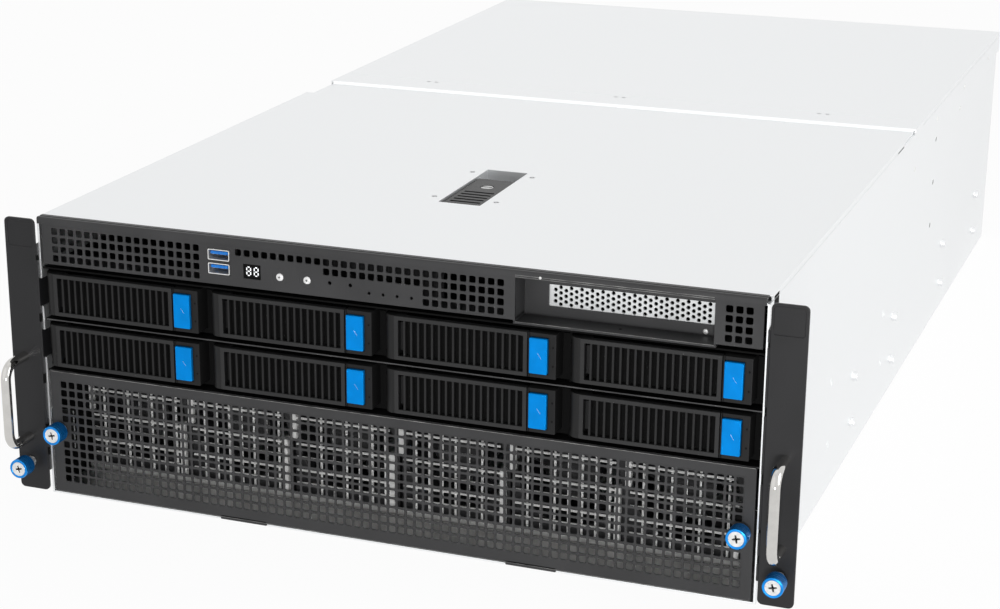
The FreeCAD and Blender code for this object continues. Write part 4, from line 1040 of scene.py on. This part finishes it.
class SERVER_OT_thumbscrews(ServerOperator, bpy.types.Operator):
    """Turn the knurled thumbscrews with their cross heads"""
    bl_idname = "server.thumbscrews"
    bl_label = "Thumbscrews"

    def build(self):
        knurl = bpy.context.scene.server_sizes.knurl
        for kind, shape in SCREWS.items():
            for side in ("left", "right"):
                self.screw("%s_screw_%s" % (kind, side), knurl, *shape)

    def screw(self, node, knurl, way, collar, shank, neck):
        low, high = box_mm(node)
        x, z = (low.x + high.x) / 2, (low.z + high.z) / 2
        start = low.y if way > 0 else high.y
        r = (high.x - low.x) / 2
        axis, base = (0, way, 0), (x, start, z)
        head = KNOB + collar
        core = shank - 0.6
        knob = Maker()
        profile = [(WELL_R, 2.3), (WELL_R, 0.3), (4.6, 0.1), (4.9, 0.0), (r - 0.75, 0.0), (r - 0.2, 0.3),
                   (r, 0.9), (r, 1.5), (r - 0.25, 1.7), (r, 1.9), (r, 9.2), (r - 0.6, 9.8), (3.4, KNOB)]
        knob.turned(profile, base, axis, knurl * 2, 0, (8, 10, 0.25))
        depth, floor = start + way * 0.3, start + way * 1.7
        face = [ring_loop(x, z, WELL_R, 36), self.cross(x, z)]
        knob.pierced(face, min(depth, depth + way * 1.6), 1.6, 0.1, 1)
        # Painted shade: a dark disc at the floor of the cross slot
        knob.pierced([ring_loop(x, z, 3.0, 20)], min(floor, floor + way * 0.4), 0.4, 0.05, 2)
        ferrule = [(3.4, KNOB - 0.1), (3.5, KNOB), (3.5, head - 0.3), (3.2, head), (core, head)]
        knob.turned(ferrule, base, axis, 28, 1)
        reach = high.y - low.y
        thread = [(core, head - 0.1), (core, head + neck)]
        place = head + neck + 0.4
        while place < reach - 1.2:
            thread += [(shank, place), (shank - 0.3, place + 0.35), (shank, place + 0.7)]
            place += THREAD_PITCH
        thread += [(shank, reach - 0.7), (core, reach), (0.0, reach)]
        knob.turned(thread, base, axis, 20, 1)
        knob.piece(node + "_knob", node, (knob_blue, bright_steel, dark_void), "blue_metal", (node,))

    def cross(self, x, z):
        """Loop of the cross slot."""
        loop = []
        for quarter in range(4):
            angle = math.radians(90 * quarter + 12)
            for along, across in ((0.55, -0.55), (2.3, -0.42), (2.3, 0.42)):
                loop.append((x + along * math.cos(angle) - across * math.sin(angle),
                             z + along * math.sin(angle) + across * math.cos(angle)))
        return loop


EAR_SLOTS = ((25.0, 30.0), (43.0, 45.0), (71.0, 77.0), (110.0, 115.0), (148.0, 151.0))
EAR_FLANGE = (15.0, 158.0)
HANDLE_R, HANDLE_BEND = 3.0, 9.0


class SERVER_OT_ears(ServerOperator, bpy.types.Operator):
    """Press the rack ears and bend the chrome handles"""
    bl_idname = "server.ears"
    bl_label = "Ears and handles"

    def build(self):
        ears, bars = Maker(), Maker()
        for side in (-1, 1):
            self.ear(ears, side)
            self.handle(bars, side)
        ears.piece("ear_plates", "chassis", (black_paint, dark_void), "black_sheet", ("rack_ears",))
        bars.piece("handle_bars", "chassis", (chrome_bar,), "chrome", ("handles",))

    def ear(self, ears, side):
        """Plate with its pressed field and screw hole, and the slotted flange on the side wall."""
        low, high = box_mm("rack_ears")
        screw = middle_mm("ear_screw_right")
        inner = HALF + 1.25
        outline = rounded_rectangle(*ends(side, inner, high.x), low.z, high.z, 3.0, 6)
        hole = ring_loop(side * screw.x, screw.z, 3.05, 24)
        e0, e1 = ends(side, 222.6, 239.2)
        emboss = rounded_rectangle(e0, e1, 155.8, high.z - 1.6, 1.2, 4)
        ears.pierced([outline, hole, emboss], low.y, 2.0, 0.3)
        field = rounded_rectangle(e0 - 0.3, e1 + 0.3, 155.5, high.z - 1.3, 1.2, 4)
        ears.pierced([field], low.y + 0.45, 1.5, 0.1)
        flange = ends(side, HALF, inner + 0.2)
        start, end = EAR_FLANGE
        for z0, z1 in EAR_SLOTS:
            ears.block(*flange, low.y + 0.1, 30.0, start, z0, 0.25)
            # Painted shade: dark blocks in the flange's slots
            ears.block(*flange, low.y + 1.0, 30.0, z0, z1, 0.05, 1)
            start = z1
        ears.block(*flange, low.y + 0.1, 30.0, start, end, 0.25)

    def handle(self, bars, side):
        low, high = box_mm("handles")
        bend = HANDLE_BEND
        top, bottom = high.z - HANDLE_R, low.z + HANDLE_R
        far, near = low.y + HANDLE_R, -2.0
        turns = [math.radians(90 * step / 12) for step in range(13)]
        path = [(near, bottom)]
        path += [(far + bend * (1 - math.sin(turn)), bottom + bend * (1 - math.cos(turn))) for turn in turns]
        path += [(far + bend * (1 - math.cos(turn)), top - bend * (1 - math.sin(turn))) for turn in turns]
        path.append((near, top))
        bars.bent(side * (high.x - HANDLE_R), path, HANDLE_R)


# Top, sides and back

COVER_SHELF = CHASSIS_TOP - SHEET - 0.9
RISER_Y = 420.0
WALL_SKIN = (HALF - 0.3, HALF + 0.03)


class SERVER_OT_covers(ServerOperator, bpy.types.Operator):
    """Add the rivets, weld spots and lever of the top covers"""
    bl_idname = "server.covers"
    bl_label = "Covers"

    def build(self):
        finish_node("cover_lever", grip_plastic, 0.3)
        self.lock()
        dots = Maker()
        for x in (-20.0, 20.0):
            for y in (130.0, 195.0):
                dots.spot((x, y, CHASSIS_TOP), 1.6, -0.12)
        dots.piece("cover_spots", "front_cover", (plated_sheet,), "plated_sheet")
        low, high = box_mm("front_cover")
        x0, x1 = low.x + 2.0, high.x - 2.0
        self.strip(x0, x1, high.y)
        # Painted shade: dark blocks on the side walls at the ends of the cover
        marks = Maker()
        for side in (-1, 1):
            skin = ends(side, *WALL_SKIN)
            marks.block(*skin, 9.0, 20.0, COVER_SHELF - 1.0, CHASSIS_TOP - SHEET - 0.1, 0.02)
            marks.block(*skin, high.y - 20.0, high.y - 0.2, COVER_SHELF - 1.1, COVER_SHELF - 0.3, 0.02)
        marks.piece("cover_edge_marks", "front_cover", (dark_void,))

    def lock(self):
        """Round lock head with its coin slot."""
        low, high = box_mm("lever_lock")
        y, top, r = (low.y + high.y) / 2, high.z, (high.x - low.x) / 2
        lock = Maker()
        profile = [(r, low.z), (r, top - 0.4), (r - 0.4, top - 0.1), (r - 1.0, top)]
        lock.turned(profile, (0, y, 0), (0, 0, 1), 32)
        # Painted shade: a dark block in the coin slot
        lock.block(-r + 0.7, r - 0.7, y - 0.65, y + 0.65, top - 0.02, top + 0.02, 0.01, 1)
        lock.piece("lock_head", "lever_lock", (white_cap, dark_void), "white_plastic", ("lever_lock",))

    def strip(self, x0, x1, cover_end):
        """Rivets and slots of the fixed strip, the shelf in front of it and its leaning front face; painted
        shade fills the slots, a painted shadow lies on the shelf and a painted highlight on the face.
        """
        seam = Maker()
        for x in (-150.0, -144.0, -3.0, 3.0, 147.0, 153.0):
            seam.spot((x, 444.0, CHASSIS_TOP), 1.3, -0.15)
        for x in (-95.0, 95.0):
            # Painted shade: dark blocks in the strip's slots
            seam.block(x - 15.0, x + 15.0, 448.6, 449.9, CHASSIS_TOP - 0.3, CHASSIS_TOP - 0.01, 0.1, 1)
        # Painted shadow: a duller strip on the shelf behind the cover's edge
        seam.block(x0, x1, cover_end + 0.6, cover_end + 7.2, COVER_SHELF, COVER_SHELF + 0.1, 0.02, 2)
        top = CHASSIS_TOP - 0.02
        lean = [(RISER_Y - 0.8, COVER_SHELF), (RISER_Y, COVER_SHELF), (RISER_Y, top), (RISER_Y - 0.05, top)]
        # Painted highlight: the leaning face is brighter plate
        seam.drawn(lean, x0, x1, 3)
        finishes = (plated_sheet, dark_void, inner_sheet, bent_edge)
        seam.piece("bridge_rivets", "chassis", finishes, "plated_sheet")


class SERVER_OT_sides(ServerOperator, bpy.types.Operator):
    """Add the screw holes, rivets and stud rims of the side walls"""
    bl_idname = "server.sides"
    bl_label = "Sides"

    def build(self):
        holes = ((510.0, 148.0), (510.0, 116.0), (510.0, 83.5))
        rivets = ((510.0, 163.0), (617.0, 149.0), (632.0, 163.0), (752.0, 163.0), (425.0, 145.0))
        rims = ((175.0, 30.5), (175.0, 70.5), (340.0, 30.5), (340.0, 65.5))
        walls = Maker()
        for side in (-1, 1):
            # Paint 1 is painted shade: dark discs fill the screw holes
            for places, profile, count, paint in (
                    (holes, [(2.9, -0.1), (2.8, 0.12), (2.1, 0.12), (1.9, 0.0)], 20, 0),
                    (holes, [(2.0, -0.05), (1.9, 0.02), (0.0, 0.02)], 16, 1),
                    (rivets, [(1.9, -0.1), (1.8, 0.2), (1.2, 0.5), (0.0, 0.6)], 16, 2),
                    (rims, [(3.4, -0.1), (3.3, 0.1), (2.4, 0.1), (2.26, -0.2)], 24, 0)):
                for y, z in places:
                    walls.turned(profile, (side * HALF, y, z), (side, 0, 0), count, paint)
            # Painted shade: a dark block for a slot near the top front of each wall
            walls.block(*ends(side, *WALL_SKIN), 9.0, 20.0, 158.0, 171.1, 0.02, 1)
        walls.piece("wall_fittings", "chassis", (plated_sheet, dark_void, bright_steel), "plated_sheet")


CARD_SLOTS, CARD_PITCH, CARD_HEIGHT = 16, 20.32, 96.5
REAR_SOCKETS = (40.0, 34.0, 16.0, 16.0, 20.0)


class SERVER_OT_back(ServerOperator, bpy.types.Operator):
    """Add the vents, pins and frames of the rear panel and the power supplies"""
    bl_idname = "server.back"
    bl_label = "Back"

    def build(self):
        self.brackets()
        self.sockets()
        for node in ("psu_1", "psu_2"):
            self.supply(node)

    def brackets(self):
        """Vent holes and the screw of each card bracket."""
        top = box_mm("rear_fittings")[1].z
        face = DEPTH - SHEET
        z0, z1 = top - CARD_HEIGHT + 3.0, top - 3.0
        row_pitch = 4.0
        vents = Maker()
        for number in range(CARD_SLOTS):
            x = (number - (CARD_SLOTS - 1) / 2) * CARD_PITCH
            loops = [rounded_rectangle(x - 6.6, x + 6.6, z0, z1, 0.5)]
            for row in range(int((z1 - z0 - 6.0) / row_pitch)):
                z = z0 + 5.0 + row * row_pitch
                loops += [ring_loop(x + across, z, 1.2, 10) for across in (-3.2, 0.0, 3.2)]
            vents.pierced(loops, face + 0.08, 0.4, 0.05)
            # Painted shade: a dark plate behind each vent
            vents.block(x - 6.6, x + 6.6, face, face + 0.06, z0, z1, 0.01, 1)
            head = [(2.7, -0.05), (2.7, 0.7), (2.2, 1.2), (0.0, 1.35)]
            vents.turned(head, (x, DEPTH, top + 4.0), count=20, paint=2)
        vents.piece("bracket_vents", "chassis", (inner_sheet, dark_void, bright_steel), "plated_sheet")

    def sockets(self):
        """Bright frame and contacts of each rear socket."""
        start = box_mm("psu_2")[1].x
        gap = (INNER - start - sum(REAR_SOCKETS)) / (len(REAR_SOCKETS) + 1)
        x0 = start + gap + 0.3
        pin_pitch = 2.0
        frames = Maker()
        for width in REAR_SOCKETS:
            x1 = x0 + width
            outer = rounded_rectangle(x0 + 0.3, x1 - 0.3, 14.3, 29.7, 0.6)
            mouth = rounded_rectangle(x0 + 1.6, x1 - 1.6, 15.6, 28.4, 0.3)
            frames.pierced([outer, mouth], DEPTH, 0.35, 0.05)
            # Painted shade: the back and the tongue of each socket are dark
            frames.block(x0 + 1.6, x1 - 1.6, DEPTH - 14.9, DEPTH - 14.7, 15.6, 28.4, 0.05, 1)
            frames.block(x0 + 3.0, x1 - 3.0, DEPTH - 14.6, DEPTH - 2.5, 24.5, 26.2, 0.2, 1)
            pins = int((width - 7.0) / pin_pitch)
            for pin in range(pins):
                at = (x0 + x1) / 2 + (pin - (pins - 1) / 2) * pin_pitch
                frames.block(at - 0.4, at + 0.4, DEPTH - 14.0, DEPTH - 3.0, 24.2, 24.5, 0.05, 2)
            x0 = x1 + gap
        frames.piece("rear_socket_frames", "chassis", (bright_steel, dark_void, contact_gold), "plated_sheet")

    def supply(self, node):
        """Grille, inlet lining, inlet blades and lamp of a power supply."""
        low, high = box_mm(node)
        plate = Maker()
        inlet0, inlet1 = low.x + 8.0, low.x + 35.0
        middle = (low.z + high.z) / 2
        x0, x1 = inlet1 + 3.0, high.x - 2.0
        column_pitch, row_pitch = 3.8, 3.4
        for z0, z1 in ((middle + 3.5, high.z - 2.0), (low.z + 2.0, middle - 3.5)):
            loops = [rounded_rectangle(x0, x1, z0, z1, 1.0)]
            for row in range(int((z1 - z0 - 2.0) / row_pitch)):
                shift = column_pitch / 2 if row % 2 else 0.0
                z = z0 + 2.6 + row * row_pitch
                for column in range(int((x1 - x0 - 4.0 - shift) / column_pitch)):
                    loops.append(ring_loop(x0 + 3.0 + shift + column * column_pitch, z, 1.55, 6))
            plate.pierced(loops, DEPTH + 0.06, 0.6, 0.05)
            # Painted shade: a dark plate behind each grille
            plate.block(x0, x1, DEPTH, DEPTH + 0.05, z0, z1, 0.01, 1)
        # Painted shade: the inlet's lining is dark
        lining = 0.25
        z0, z1 = middle - 10.0, middle + 10.0
        back, mouth = DEPTH - 14.0, DEPTH - 0.1
        for wall in ((inlet0, inlet1, back, back + lining, z0, z1),
                     (inlet0, inlet0 + lining, back, mouth, z0, z1),
                     (inlet1 - lining, inlet1, back, mouth, z0, z1),
                     (inlet0, inlet1, back, mouth, z0, z0 + lining),
                     (inlet0, inlet1, back, mouth, z1 - lining, z1)):
            plate.block(*wall, 0.05, 1)
        for x, z in ((-7.0, -2.0), (0.0, 2.0), (7.0, -2.0)):
            at = (inlet0 + inlet1) / 2 + x
            plate.block(at - 1.0, at + 1.0, back, DEPTH - 3.0, middle + z - 2.2, middle + z + 2.2, 0.3, 2)
        lamp = [(1.3, 0.0), (1.2, 0.4), (0.0, 0.6)]
        plate.turned(lamp, (inlet0 - 4.0, DEPTH, high.z - 5.0), count=14, paint=3)
        finishes = (inner_sheet, dark_void, bright_steel, white_cap)
        plate.piece(node + "_fittings", node, finishes, "plated_sheet")


# Stage, in metres

# Width, height, place and aim of each lamp; the fill lamp stays below the top, so the top can't mirror it
LAMPS = {
    "key": (2.2, 2.2, (-0.3, 0.1, 2.6), (0, 0, 0.1)),
    "side": (1.8, 1.8, (2.6, -0.3, 0.95), (0, 0, 0.1)),
    "back": (2.4, 2.4, (-1.2, 3.0, 1.5), (0, 0, 0.15)),
    "front": (3.2, 3.2, (-1.0, -2.4, 1.3), (0, -0.4, 0.08)),
    "fill": (0.28, 0.13, (0.5, -1.65, 0.1), (0, -0.4, 0.08)),
}
FLOOR_HALF, FLOOR_Z = 12.0, -0.0005
CAMERA_PLACE = (0.4656, -1.4846, 0.5166)
CAMERA_AHEAD = (-0.3453, 0.8805, -0.3247)
CAMERA_RIGHT = (0.9308, 0.3655, 0.0013)
CAMERA_LENS, CAMERA_SENSOR = 79.86, 36.0
CAMERA_SHIFT = (0.0515, 0.0581)


class SERVER_OT_stage(ServerOperator, bpy.types.Operator):
    """Set the floor, the lamps and the camera"""
    bl_idname = "server.stage"
    bl_label = "Stage"

    def build(self):
        stage = bpy.context.scene.server_stage
        self.floor(stage)
        self.world(stage)
        for name, shape in LAMPS.items():
            self.lamp(name + "_lamp", getattr(stage, name), *shape)
        self.camera()

    def add(self, name, data):
        made = bpy.data.objects.new(name, data)
        bpy.context.scene.collection.objects.link(made)
        return made

    def floor(self, stage):
        half = FLOOR_HALF
        mesh = bpy.data.meshes.new("floor")
        corners = [(-half, -half, 0), (half, -half, 0), (half, half, 0), (-half, half, 0)]
        mesh.from_pydata(corners, [], [[0, 1, 2, 3]])
        made = self.add("floor", mesh)
        made.location.z = FLOOR_Z
        paint = bpy.data.materials.new("floor_paint")
        finish = Finish(paint)
        base = finish.blend(finish.noise(300.0), rgba(stage.floor, 0.99), rgba(stage.floor, 1.01))
        matt = finish.node("ShaderNodeBsdfDiffuse", None, {"Color": base})
        white = finish.node("ShaderNodeEmission", None, {"Color": WHITE, "Strength": 1.0})
        finish.close(finish.node("ShaderNodeMixShader", None, {0: finish.seen() * 0.95, 1: matt, 2: white}))
        mesh.materials.append(paint)

    def world(self, stage):
        world = bpy.data.worlds.new("studio")
        bpy.context.scene.world = world
        finish = Finish(world, "ShaderNodeOutputWorld")
        even, white = (finish.node("ShaderNodeBackground", None, {"Color": WHITE, "Strength": strength})
                       for strength in (stage.world, 1.0))
        finish.close(finish.node("ShaderNodeMixShader", None, {0: finish.seen(), 1: even, 2: white}))

    def lamp(self, name, power, width, height, place, target):
        data = bpy.data.lights.new(name, "AREA")
        data.shape = "ELLIPSE"
        data.size = width
        data.size_y = height
        data.energy = power
        made = self.add(name, data)
        made.location = place
        made.rotation_euler = (Vector(target) - Vector(place)).to_track_quat("-Z", "Y").to_euler()
        made.visible_camera = False

    def camera(self):
        data = bpy.data.cameras.new("view")
        data.lens = CAMERA_LENS
        data.sensor_width = CAMERA_SENSOR
        data.shift_x, data.shift_y = CAMERA_SHIFT
        data.clip_end = 50.0
        made = self.add("view", data)
        ahead = Vector(CAMERA_AHEAD).normalized()
        right = Vector(CAMERA_RIGHT)
        right = (right - ahead * right.dot(ahead)).normalized()
        turn = Matrix((right, right.cross(ahead), -ahead)).transposed().to_4x4()
        made.matrix_world = Matrix.Translation(CAMERA_PLACE) @ turn
        bpy.context.scene.camera = made
        bpy.context.scene.view_settings.view_transform = "Standard"


OPERATORS = (SERVER_OT_case, SERVER_OT_control_panel, SERVER_OT_slot_cover, SERVER_OT_front_sockets,
             SERVER_OT_trays, SERVER_OT_fan_panel, SERVER_OT_fan_guards, SERVER_OT_thumbscrews,
             SERVER_OT_ears, SERVER_OT_covers, SERVER_OT_sides, SERVER_OT_back, SERVER_OT_stage)


class SERVER_PT_looks(bpy.types.Panel):
    """Lists the settings and the pieces"""
    bl_idname = "SERVER_PT_looks"
    bl_label = "Rack server"
    bl_space_type = "VIEW_3D"
    bl_region_type = "UI"
    bl_category = "Server"

    def draw(self, context):
        for name, kind in SETTINGS.items():
            box = self.layout.box()
            for setting in kind.__annotations__:
                box.prop(getattr(context.scene, name), setting)
        for operator in OPERATORS:
            self.layout.operator(operator.bl_idname)


CLASSES = (*SETTINGS.values(), *OPERATORS, SERVER_PT_looks)


def register():
    for item in CLASSES:
        bpy.utils.register_class(item)
    for name, group in SETTINGS.items():
        setattr(bpy.types.Scene, name, bpy.props.PointerProperty(type=group))


def unregister():
    for name in SETTINGS:
        delattr(bpy.types.Scene, name)
    for item in reversed(CLASSES):
        bpy.utils.unregister_class(item)


def main():
    register()
    for operator in OPERATORS:
        group, name = operator.bl_idname.split(".")
        getattr(getattr(bpy.ops, group), name)()


if __name__ == "__main__":
    main()
